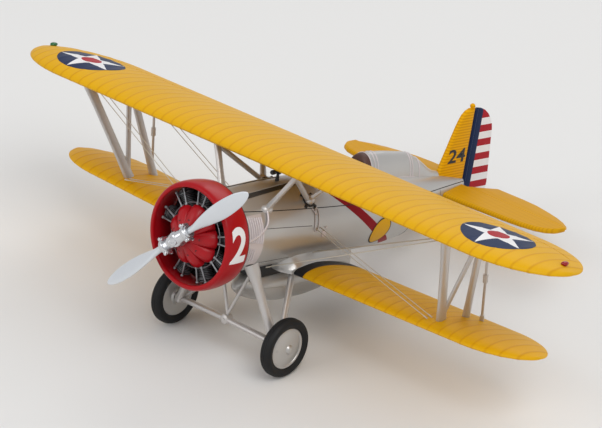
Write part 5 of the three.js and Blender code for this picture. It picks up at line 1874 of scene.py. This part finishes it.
@dataclass
class Undercarriage:
    """Two faired legs with spreader and brace, the wheels and the belly tank."""

    bench: Bench
    axle_x: float = -25.1
    axle_z: float = -26.3
    wheel_y: float = 19.8
    tyre_r: float = 7.93
    leg_x: float = -20.9
    leg_chords: tuple[float, ...] = (4.9, 4.1, 3.05, 2.85, 2.8, 2.75, 2.7, 2.65, 2.6)
    leg_widths: tuple[float, ...] = (2.9, 2.7, 2.1, 2.0, 1.95, 1.9, 1.85, 1.8, 1.7)
    tank_front: float = -24.4
    tank_length: float = 46.0
    tank_z: float = -16.9
    tank_half: float = 5.8
    tank_height: float = 5.7
    tank_shares: tuple[float, ...] = (
        0, 0.004, 0.015, 0.06, 0.15, 0.26, 0.38, 0.55, 0.7, 0.83, 0.93, 0.985, 1.0
    )
    tank_sizes: tuple[float, ...] = (
        0.01, 0.09, 0.2, 0.45, 0.72, 0.92, 1.0, 0.98, 0.84, 0.58, 0.28, 0.1, 0.01
    )

    def build(self) -> None:
        """Builds the undercarriage."""
        for name, way in SIDES.items():
            self.leg(name, way)
            self.wheel(name, way)
        self.spreader()
        self.brace()
        self.tank()

    def leg(self, name: str, way: int) -> None:
        """Builds the two struts of a leg and the axle block."""
        x, y, z = self.axle_x, 17.3, self.axle_z
        front = strut(FUSELAGE.skin(self.leg_x, -41, -0.4), point(x + 0.8, y, z), self.leg_chords,
                      self.leg_widths)
        inside = LOWER.inside(3, 7.9)
        rear = strut(inside, point(x - 0.8, y, z), (2.0, 1.9, 1.9), (1.5, 1.4, 1.4))
        axle = spun([(0, 16.4), (1.1, 16.4), (1.35, 16.65), (1.35, 17.6), (1.1, 17.88), (0.7, 17.88),
                     (0.7, 20.0), (0, 20.04)], 32, "Y")
        block_end = block((4.4, 1.7, 2.4), point(x, y - 0.1, z + 0.3), 0.5, 3)
        moved(axle, Matrix.Translation((x, 0, z)))
        bm = sided(gathered([front, rear, axle, block_end]), way)
        self.bench.piece(
            f"gear_leg_faired_{name}", bm, STRUT_LACQUER, "silver_paint", stands_for=[f"gear_legs_{name}"]
        )

    def wheel(self, name: str, way: int) -> None:
        """Builds the tyre and the pressed disc of a wheel."""
        place = Matrix.Translation((self.axle_x, way * self.wheel_y, self.axle_z))
        r = self.tyre_r
        tread = [(5.5, -1.12), (5.75, -1.3), (6.2, -1.54), (6.75, -1.65), (7.25, -1.56), (7.6, -1.27),
                 (r - 0.14, -0.94), (r - 0.04, -0.68), (r, -0.5), (r, -0.42), (r - 0.09, -0.36),
                 (r - 0.09, -0.28), (r, -0.22), (r, 0.22)]
        profile = tread + [(q, -a) for q, a in reversed(tread[:-1])]
        self.bench.piece(f"tyre_tread_{name}", moved(spun(profile, 128, "Y"), place), RUBBER, "tyre_rubber",
                         body=f"wheel_{name}", stands_for=[f"tyre_{name}"])
        outboard = [(0, 2.4), (0.45, 2.37), (0.85, 2.24), (1.12, 2.02), (1.2, 1.82), (1.3, 1.7), (1.9, 1.66),
                    (2.6, 1.56), (3.3, 1.36), (3.95, 1.16), (4.5, 1.02), (4.85, 0.95), (4.93, 1.06),
                    (5.35, 1.12), (5.5, 1.0), (5.5, -1.0), (5.35, -1.1), (4.9, -1.06), (2.3, -0.9),
                    (2.0, -1.2), (1.9, -1.48), (1.0, -1.48)]
        disc = spun([(q, way * a) for q, a in outboard], 96, "Y")
        valve = dome(point(3.9, way * 1.2, 0), 0.24, Vector((1, 0.8, 1)), 12)
        bm = moved(gathered([disc, valve]), place)
        self.bench.piece(f"wheel_disc_pressed_{name}", bm, SILVER_LACQUER, "silver_paint",
                         body=f"wheel_{name}", stands_for=[f"wheel_disc_{name}"])

    def spreader(self) -> None:
        """Builds the two spreader bars and the joint between them."""
        centre = point(-24.2, 0, -25.6)
        bars = [strut(centre, point(self.axle_x, y, self.axle_z), (2.4, 2.4), (1.4, 1.4))
                for y in (-16.5, 16.5)]
        joint = spun([(0, -1.35), (0.8, -1.35), (1.25, -1.1), (1.25, 1.1), (0.8, 1.35), (0, 1.35)], 28)
        pin = spun([(0, -1.55), (0.4, -1.55), (0.4, 1.55), (0, 1.55)], 16)
        bm = gathered([*bars, moved(gathered([joint, pin]), Matrix.Translation(centre))])
        self.bench.piece("spreader_bars", bm, STRUT_LACQUER, "silver_paint", stands_for=["spreader_bar"])

    def brace(self) -> None:
        """Builds the crossed braces from the spreader joint to the fuselage."""
        rods = []
        foot = point(-24.2, 0, -24.3)
        for way in (-1, 1):
            end = FUSELAGE.at(-24.6).skin(-55, -0.3)
            rods.append(tube([foot, point(-24.6, way * end.y, end.z)], 0.45, 14))
        self.bench.piece("gear_brace_rods", gathered(rods), STRUT_LACQUER, "silver_paint",
                         stands_for=["centre_brace"])

    def tank(self) -> None:
        """Builds the drop-shaped belly tank with its seam, cap and straps."""
        half, height = self.tank_half, self.tank_height

        def centre(u: float) -> Vector:
            """Gives a point of the tank's axis at a share of its curve."""
            x = self.tank_front - self.tank_length * curve_value(self.tank_shares, u)
            return point(x, 0, self.tank_z)

        rings = []
        for u in spread(0, 1, 72):
            size = max(0.008, curve_value(self.tank_sizes, u))
            rings.append(oval(centre(u), Vector((0, half * size, 0)), Vector((0, 0, height * size)), 64))
        body = loft(rings)
        seam = []
        for way in (-1, 1):
            path = [centre(u) + point(0, way * half * max(0.01, curve_value(self.tank_sizes, u)), 0)
                    for u in spread(0.04, 0.96, 50)]
            seam.append(tube(path, 0.11, 8))
        straps = []
        for x in (-40.0, -49.5):
            along = (self.tank_front - x) / self.tank_length
            size = curve_value_at(self.tank_shares, self.tank_sizes, along)
            band = []
            for angle in spread(0, math.pi, 33):
                out = Vector((0, math.cos(angle), math.sin(angle)))
                place = point(x, half * size * out.y, self.tank_z + height * size * out.z)
                band.append(oval(place + out * 0.02, Vector((0.55, 0, 0)), out * 0.14, 8))
            straps.append(loft(band))
        # Painted shadow: a black block fills the gap between the fuselage and the top of the tank.
        shadow_block = block((10.5, 8.6, 3.6), point(-32.4, 0, -11.9), 0.5)
        self.bench.piece("tank_gap_shadow", shadow_block, BLACK_ABS_AND_SHADOW, "black_plastic")
        cap = spun([(0, 0.5), (0.9, 0.5), (1.05, 0.35), (1.05, -0.6), (0, -0.6)], 28, "Z")
        moved(cap, Matrix.Translation((-36.6, 3.0, -12.2)) @ Matrix.Rotation(math.radians(-32), 4, "X"))
        self.bench.piece(
            "belly_tank_skin", gathered([body, *seam, *straps, cap]), SILVER_LACQUER, "silver_paint",
            stands_for=["belly_tank"],
        )


# ---- struts


@dataclass
class Struts:
    """Struts between the wings and over the fuselage, and the aileron push-rods."""

    bench: Bench
    chord: float = 2.9
    thickness: float = 1.3
    cabane_angle: float = 44.5
    cabane_feet: tuple[float, float] = (-23.5, -39.1)
    wire_r: float = 0.1
    wire_half_gap: float = 0.95
    wire_clear: float = 0.81

    def build(self) -> None:
        """Builds the struts of both sides."""
        for name, way in SIDES.items():
            self.interplane(name, way)
            self.cabane(name, way)
            self.push_rod(name, way)
            self.wires(name, way)

    def wires(self, name: str, way: int) -> None:
        """Strings the paired rigging wires of one side, each with its small end plates."""
        clear = self.wire_clear
        runs = {
            "flying_wires_front": (FUSELAGE.skin(-28.5, -48, clear), UPPER.above(-28.6, 60.4, -1, clear)),
            "flying_wires_rear": (FUSELAGE.skin(-43.5, -31, clear), UPPER.above(-44.0, 60.6, -1, clear)),
            "landing_wires": (FUSELAGE.skin(-40.9, 4, clear), LOWER.above(-37.6, 53.6, 1, clear)),
        }
        for run, (root, end) in runs.items():
            ahead = (end - root).normalized()
            parts = []
            for dx in (-self.wire_half_gap, self.wire_half_gap):
                first, last = root - ahead * 0.7 + point(dx, 0, 0), end + ahead * 0.7 + point(dx, 0, 0)
                parts += [
                    tube([first, last], self.wire_r, 10),
                    tube([first, first + ahead * 1.5], 0.17, 10),
                    tube([last, last - ahead * 1.5], 0.17, 10),
                ]
            self.bench.piece(f"{run}_pair_{name}", sided(gathered(parts), way), PALE_WIRE, "bright_steel",
                             stands_for=[f"{run}_{name}"])

    def interplane(self, name: str, way: int) -> None:
        """Builds the N of struts near a wing tip."""
        top_front, foot_front = UPPER.inside(3.4, 63.5), LOWER.inside(5.7, 55.7)
        top_rear, foot_rear = UPPER.inside(18.9, 63), LOWER.inside(15.2, 56)
        c, t = self.chord, self.thickness
        ends = (1.18, 1.0, 1.0, 1.0, 1.18)
        bars = [
            strut(foot_front, top_front, [c * e for e in ends], [t * e for e in ends]),
            strut(foot_rear, top_rear, [c * 0.85 * e for e in ends], [t * 0.9 * e for e in ends]),
            strut(foot_front.lerp(top_front, 0.07), foot_rear.lerp(top_rear, 0.97), (c * 0.6,) * 2,
                  (t * 0.7,) * 2),
        ]
        self.bench.piece(
            f"interplane_struts_{name}", sided(gathered(bars), way), STRUT_LACQUER, "silver_paint",
            stands_for=[f"interplane_strut_{name}"],
        )

    def cabane(self, name: str, way: int) -> None:
        """Builds the struts over the fuselage, with the bosses at their feet."""
        feet = [FUSELAGE.skin(x, self.cabane_angle) for x in self.cabane_feet]
        tops = [UPPER.inside(3.8, 15), UPPER.inside(22.6, 16.2)]
        c, t = 2.1, 1.2
        ends = (1.25, 1.0, 1.0, 1.2)
        bars = [
            strut(feet[0], tops[0], [c * e for e in ends], [t * e for e in ends]),
            strut(feet[1], tops[1], [c * 0.85 * e for e in ends], [t * 0.9 * e for e in ends]),
            strut(feet[1], feet[0].lerp(tops[0], 0.84), (c * 0.7,) * 2, (t * 0.8,) * 2),
        ]
        lean_by = math.radians(self.cabane_angle)
        out = Vector((0, math.cos(lean_by), math.sin(lean_by)))
        front = dome(feet[0] - out * 0.25, 1.62, Vector((1.2, 0.85, 0.85)), 28)
        rear = dome(feet[1] + out * 0.45, 1.5, Vector((1, 0.9, 0.9)), 28)
        bm = sided(gathered([*bars, front, rear]), way)
        self.bench.piece(f"cabane_struts_{name}", bm, STRUT_LACQUER, "silver_paint",
                         stands_for=[f"cabane_strut_{name}"])
        disc = spun([(0, 0.25), (1.75, 0.25), (1.85, 0.15), (1.85, -0.3), (0, -0.3)], 32, "Y")
        arms = [block(size, Vector((0, 0, 0)), 0.15) for size in ((0.8, 0.5, 5.4), (5.4, 0.5, 0.8))]
        lean = Matrix.Translation(feet[1] + out * 0.05) @ Matrix.Rotation(lean_by, 4, "X")
        lean = lean @ Matrix.Rotation(math.radians(40), 4, "Y")
        plate = sided(moved(gathered([disc, *arms]), lean), way)
        self.bench.piece(f"cabane_lug_{name}", plate, BLACK_ABS_AND_SHADOW, "silver_paint")

    def push_rod(self, name: str, way: int) -> None:
        """Builds the rod that ties the two ailerons, with its adjusting collar and forks."""
        foot, top = LOWER.inside(17.6, 59.4), UPPER.inside(25.8, 59.5)
        parts = [tube([foot, top], 0.36, 16), tube([foot.lerp(top, 0.42), foot.lerp(top, 0.5)], 0.66, 16)]
        for at in (0.06, 0.94):
            parts.append(tube([foot.lerp(top, at - 0.03), foot.lerp(top, at + 0.03)], 0.6, 12))
        self.bench.piece(
            f"aileron_rod_{name}", sided(gathered(parts), way), STRUT_LACQUER, "silver_paint",
            stands_for=[f"aileron_pushrod_{name}"],
        )


# ---- tail


@dataclass
class Tail:
    """Fixed surfaces, elevators, rudder and the steerable tail wheel."""

    bench: Bench
    lead: float = -99.5
    middle: float = -0.4
    half_span: float = 38.6
    thickness: float = 1.5
    rear: float = -111.65
    elevator_front: float = -111.78
    fin_thickness: float = 1.5
    fin_ridge: float = 0.4
    rib_pitch: float = 3.0
    stripe_top: float = 18.7
    stripe: float = 2.07
    stripe_front: float = -116.9

    def build(self) -> None:
        """Builds the tail."""
        for name, way in SIDES.items():
            self.tailplane(name, way)
            self.elevator(name, way)
        self.bench.keep(STRUT_LACQUER, "elevator_tube")
        self.fin()
        self.rudder()
        self.wheel()

    def edges(self, y: float) -> tuple[float, float]:
        """Gives the front and rear edge of the tailplane and elevator together."""
        lead = self.lead
        fore = [(0.0, lead), (20.0, lead - 1.6), (25.0, lead - 2.0), (30.0, lead - 2.7), (34.0, lead - 3.9),
                (36.5, lead - 5.6), (37.9, lead - 8.0), (38.45, lead - 10.2), (self.half_span, lead - 12.0)]
        aft = [(0.0, -120.7), (17.0, -120.7), (22.0, -120.3), (27.0, -119.0), (31.0, -117.7), (34.5, -116.0),
               (37.0, -114.2), (38.2, -112.8), (self.half_span, lead - 12.0)]
        return (curve_value_at(*zip(*fore), at=y), curve_value_at(*zip(*aft), at=y))

    def slab(self, fore: Callable[[float], float], aft: Callable[[float], float], y0: float, y1: float,
             thick: float, rear_sharp: bool) -> BMesh:
        """Builds a covered surface between two edges, with raised ribs.

        Args:
            fore: front edge at a place across.
            aft: rear edge at a place across.
            y0: inner end.
            y1: outer end.
            thick: greatest thickness.
            rear_sharp: whether the rear edge thins away.

        Returns:
            The surface.
        """
        rings = []
        steps = max(24, round((y1 - y0) / self.rib_pitch * 8))
        for i in range(steps + 1):
            share = i / steps
            y = y0 + (y1 - y0) * share
            front, back = fore(y), aft(y)
            long = max(0.02, front - back)
            slim = min(1.0, 0.25 + long / 5.0)
            near = abs((y / self.rib_pitch) % 1 - 0.5)
            rib = 0.026 * max(0.0, 1 - (0.5 - near) * 9)
            upper, lower = [], []
            for s in spread(0, 1, 22):
                along = 0.5 - 0.5 * math.cos(math.pi * s)
                x = front - long * along
                nose = min(1.0, long * along / (thick * 0.5))
                lead = math.sqrt(max(0.0, 1 - (1 - nose) ** 2))
                tail = min(1.0, 0.16 + (1 - along) / 0.7) if rear_sharp else 1.0
                h = thick / 2 * slim * lead * tail + rib * min(1.0, along * 8, (1 - along) * 8)
                upper.append(point(x, y, self.middle + h))
                lower.append(point(x, y, self.middle - h))
            rings.append(upper + list(reversed(lower)))
        return loft(rings)

    def tailplane(self, name: str, way: int) -> None:
        """Builds the fixed half tailplane."""
        def aft(y: float) -> float:
            """Gives the rear edge."""
            return max(self.rear, self.edges(y)[1])

        bm = self.slab(lambda y: self.edges(y)[0], aft, 0.4, self.half_span - 0.05, self.thickness, False)
        self.bench.piece(f"tailplane_skin_{name}", sided(bm, way), TAIL_ENAMEL, "yellow_paint",
                         stands_for=[f"tailplane_{name}"])

    def elevator(self, name: str, way: int) -> None:
        """Builds the half elevator with its cut inner corner."""
        def aft(y: float) -> float:
            """Gives the rear edge, with the corner cut for the rudder."""
            cut = -112.3 - (y - 2.1) * 11.4 / 7.6
            return max(self.edges(y)[1], cut)

        bm = self.slab(lambda y: self.elevator_front, aft, 2.5, 38.1, self.thickness * 0.8, True)
        self.bench.piece(f"elevator_skin_{name}", sided(bm, way), TAIL_ENAMEL, "yellow_paint",
                         body="elevators", stands_for=[f"elevator_{name}"])

    def upright(self, outline: Sequence[tuple[float, float]], thick: float, cell: float) -> BMesh:
        """Builds an upright plate with a rounded rim from its outline.

        Args:
            outline: edge as points of along and up.
            thick: thickness.
            cell: height of a strip of its face.

        Returns:
            The plate.
        """
        bm = bmesh.new()
        face = bm.faces.new([bm.verts.new((x, -thick / 2, z)) for x, z in outline])
        far = bmesh.ops.extrude_face_region(bm, geom=[face])["geom"]
        verts = [item for item in far if isinstance(item, bmesh.types.BMVert)]
        bmesh.ops.translate(bm, vec=(0, thick, 0), verts=verts)
        bmesh.ops.recalc_face_normals(bm, faces=bm.faces)
        rims = [e for e in bm.edges if abs(e.verts[0].co.y - e.verts[1].co.y) < 1e-6]
        bmesh.ops.bevel(
            bm, geom=rims, offset=thick * 0.42, affect="EDGES", segments=4, profile=0.5, material=-1
        )
        low, high = min(z for _, z in outline), max(z for _, z in outline)
        for i in range(1, round((high - low) / cell)):
            split(bm, Vector((0, 0, low + cell * i)), Vector((0, 0, 1)))
        return bm

    def fin(self) -> None:
        """Builds the fin with its tip light mount and code digits."""
        outline = [(-99.0, 0.5), (-101.2, 3.0), (-102.6, 6.6), (-104.0, 10.1), (-105.4, 13.7), (-106.8, 17.2),
                   (-107.5, 18.7), (-108.5, 20.3), (-109.8, 21.4), (-111.3, 22.0), (-113.15, 22.1),
                   (-113.15, -0.5), (-104.0, -0.5)]
        bm = self.upright(outline, self.fin_thickness, self.fin_ridge)
        for vert in bm.verts:
            row = round((vert.co.z + 0.5) / self.fin_ridge)
            if abs(abs(vert.co.y) - self.fin_thickness / 2) < 1e-3 and row % 2:
                vert.co.y += math.copysign(0.028, vert.co.y)
        ball = dome(point(-112.4, 0, 22.55), 0.75, Vector((1, 1, 1)), 20)
        self.bench.piece("tail_fin_skin", gathered([bm, ball]), FIN_ENAMEL, "yellow_paint",
                         stands_for=["fin"])
        for name, way in SIDES.items():
            film = lettering(Digits.FIN.value, 7.3, 4.0, 0.02, 0.8)
            for vert in film.verts:
                x = -104.7 - vert.co.x if way > 0 else -112.0 + vert.co.x
                vert.co = point(x, way * (self.fin_thickness / 2 + 0.09), 6.8 + vert.co.y)
            bmesh.ops.recalc_face_normals(film, faces=film.faces)
            self.bench.piece(f"fin_code_{name}", walled(film, 0.02), BLACK_ABS_AND_SHADOW, "black_plastic", crease=50)

    def rudder(self) -> None:
        """Builds the striped rudder on its post."""
        outline = [(-114.5, -6.1), (-114.5, 21.9), (-116.4, 21.6), (-118.2, 20.9), (-119.9, 19.7),
                   (-121.3, 18.1), (-122.3, 16.4), (-122.7, 15.0), (-123.2, 11.0), (-123.8, 6.5),
                   (-124.3, 2.8), (-124.8, -1.0), (-124.6, -2.9), (-123.7, -4.7), (-122.0, -6.2),
                   (-119.9, -7.1), (-117.8, -7.5), (-115.7, -7.6)]
        bm = self.upright(outline, 1.2, self.stripe / 2)
        top = self.stripe_top
        for i in range(13):
            split(bm, Vector((0, 0, top - self.stripe * i)), Vector((0, 0, 1)))
        split(bm, Vector((self.stripe_front, 0, 0)), Vector((1, 0, 0)))
        painted(bm, 1, lambda p: int(math.floor((top - p.z) / self.stripe)) % 2 == 0 and p.z < top)
        painted(bm, 2, lambda p: p.x > self.stripe_front)
        post = spun([(0, -6.4), (0.55, -6.4), (0.75, -6.2), (0.75, 21.5), (0.55, 21.7), (0, 21.7)], 28, "Z")
        moved(painted(post, 2), Matrix.Translation((-114.2, 0, 0)))
        self.bench.piece(
            "rudder_skin", gathered([bm, post]), [STRIPE_RED, WHITE_ENAMEL, BLUE_ENAMEL], "rudder_paint",
            body="rudder", stands_for=["rudder"],
        )

    def wheel(self) -> None:
        """Builds the tail wheel and finishes its fork."""
        tread = [(0.42, -0.62), (1.25, -0.62), (1.5, -0.78), (1.8, -0.8), (1.98, -0.6), (2.05, -0.25)]
        tyre = spun(tread + [(r, -a) for r, a in reversed(tread)], 64, "Y")
        painted(tyre, 1, lambda p: math.hypot(p.x, p.z) < 1.32)
        moved(tyre, Matrix.Translation((-111.2, 0, -11.855)))
        self.bench.piece("tail_wheel_tyre", tyre, [RUBBER, SILVER_LACQUER], "tyre_rubber", body="tail_wheel",
                         stands_for=["tail_wheel"])
        self.bench.keep(STRUT_LACQUER, "tail_fork")


# ---- studio


@dataclass
class Studio:
    """Camera, lights, floor and backdrop."""

    azimuth: float = 43.24
    elevation: float = 28.35
    lens: float = 180.37
    position: tuple[float, float, float] = (0.5192, 0.47557, 0.40316)

    def build(self) -> None:
        """Builds the studio."""
        self.camera()
        self.floor()
        self.lights()
        self.world()

    def camera(self) -> None:
        """Places the camera."""
        data = bpy.data.cameras.new("camera")
        data.lens, data.sensor_width = self.lens, 36.0
        data.clip_start, data.clip_end = 0.01, 50.0
        obj = bpy.data.objects.new("camera", data)
        az, el = math.radians(self.azimuth), math.radians(self.elevation)
        back = Vector((math.cos(az) * math.cos(el), math.sin(az) * math.cos(el), math.sin(el)))
        turn = back.to_track_quat("Z", "Y").to_matrix().to_4x4()
        obj.matrix_world = Matrix.Translation(self.position) @ turn
        bpy.context.scene.collection.objects.link(obj)
        bpy.context.scene.camera = obj

    def floor(self) -> None:
        """Lays a wide pale floor that the camera sees as the backdrop colour."""
        bm = bmesh.new()
        bmesh.ops.create_grid(bm, x_segments=1, y_segments=1, size=6.0)
        mesh = bpy.data.meshes.new("floor")
        bm.to_mesh(mesh)
        bm.free()
        obj = bpy.data.objects.new("floor", mesh)
        material = bpy.data.materials.new("matt_paper")
        material.use_nodes = True
        tree = material.node_tree
        bsdf = tree.nodes["Principled BSDF"]
        bsdf.inputs["Base Color"].default_value = linear("#DEDDDB")
        bsdf.inputs["Roughness"].default_value = 0.9
        bsdf.inputs["Specular IOR Level"].default_value = 0.1
        mesh.materials.append(material)
        bpy.context.scene.collection.objects.link(obj)

    def lights(self) -> None:
        """Hangs three soft lamps round the model."""
        for name, place, size, power in (
            ("key", (0.35, 0.9, 1.25), 0.95, 10.0),
            ("fill", (1.3, -0.5, 0.8), 1.0, 5.0),
            ("back", (-1.2, -0.4, 1.1), 1.0, 6.0),
        ):
            data = bpy.data.lights.new(name, "AREA")
            data.size, data.energy = size, power
            obj = bpy.data.objects.new(name, data)
            aim = Vector(place).to_track_quat("Z", "Y").to_matrix().to_4x4()
            obj.matrix_world = Matrix.Translation(place) @ aim
            bpy.context.scene.collection.objects.link(obj)

    def world(self) -> None:
        """Gives an even pale surround."""
        world = bpy.data.worlds.new("surround")
        world.use_nodes = True
        background = world.node_tree.nodes["Background"]
        background.inputs["Color"].default_value = linear("#F2F3F5")
        background.inputs["Strength"].default_value = 0.68
        bpy.context.scene.world = world


def main() -> None:
    """Builds every sub-assembly in turn."""
    logging.basicConfig(level=logging.INFO, format="%(message)s")
    bpy.context.scene.view_settings.view_transform = "Standard"
    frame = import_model()
    shaft = next(joint for joint in frame["joints"] if "propeller" in json.dumps(joint))
    bench = Bench(Datum.at_shaft(shaft), frame["nodes"])
    Studio().build()
    for assembly in (Wings, Fuselage, Cockpit, Nose, Propeller, Undercarriage, Struts, Tail):
        assembly(bench).build()


if __name__ == "__main__":
    main()
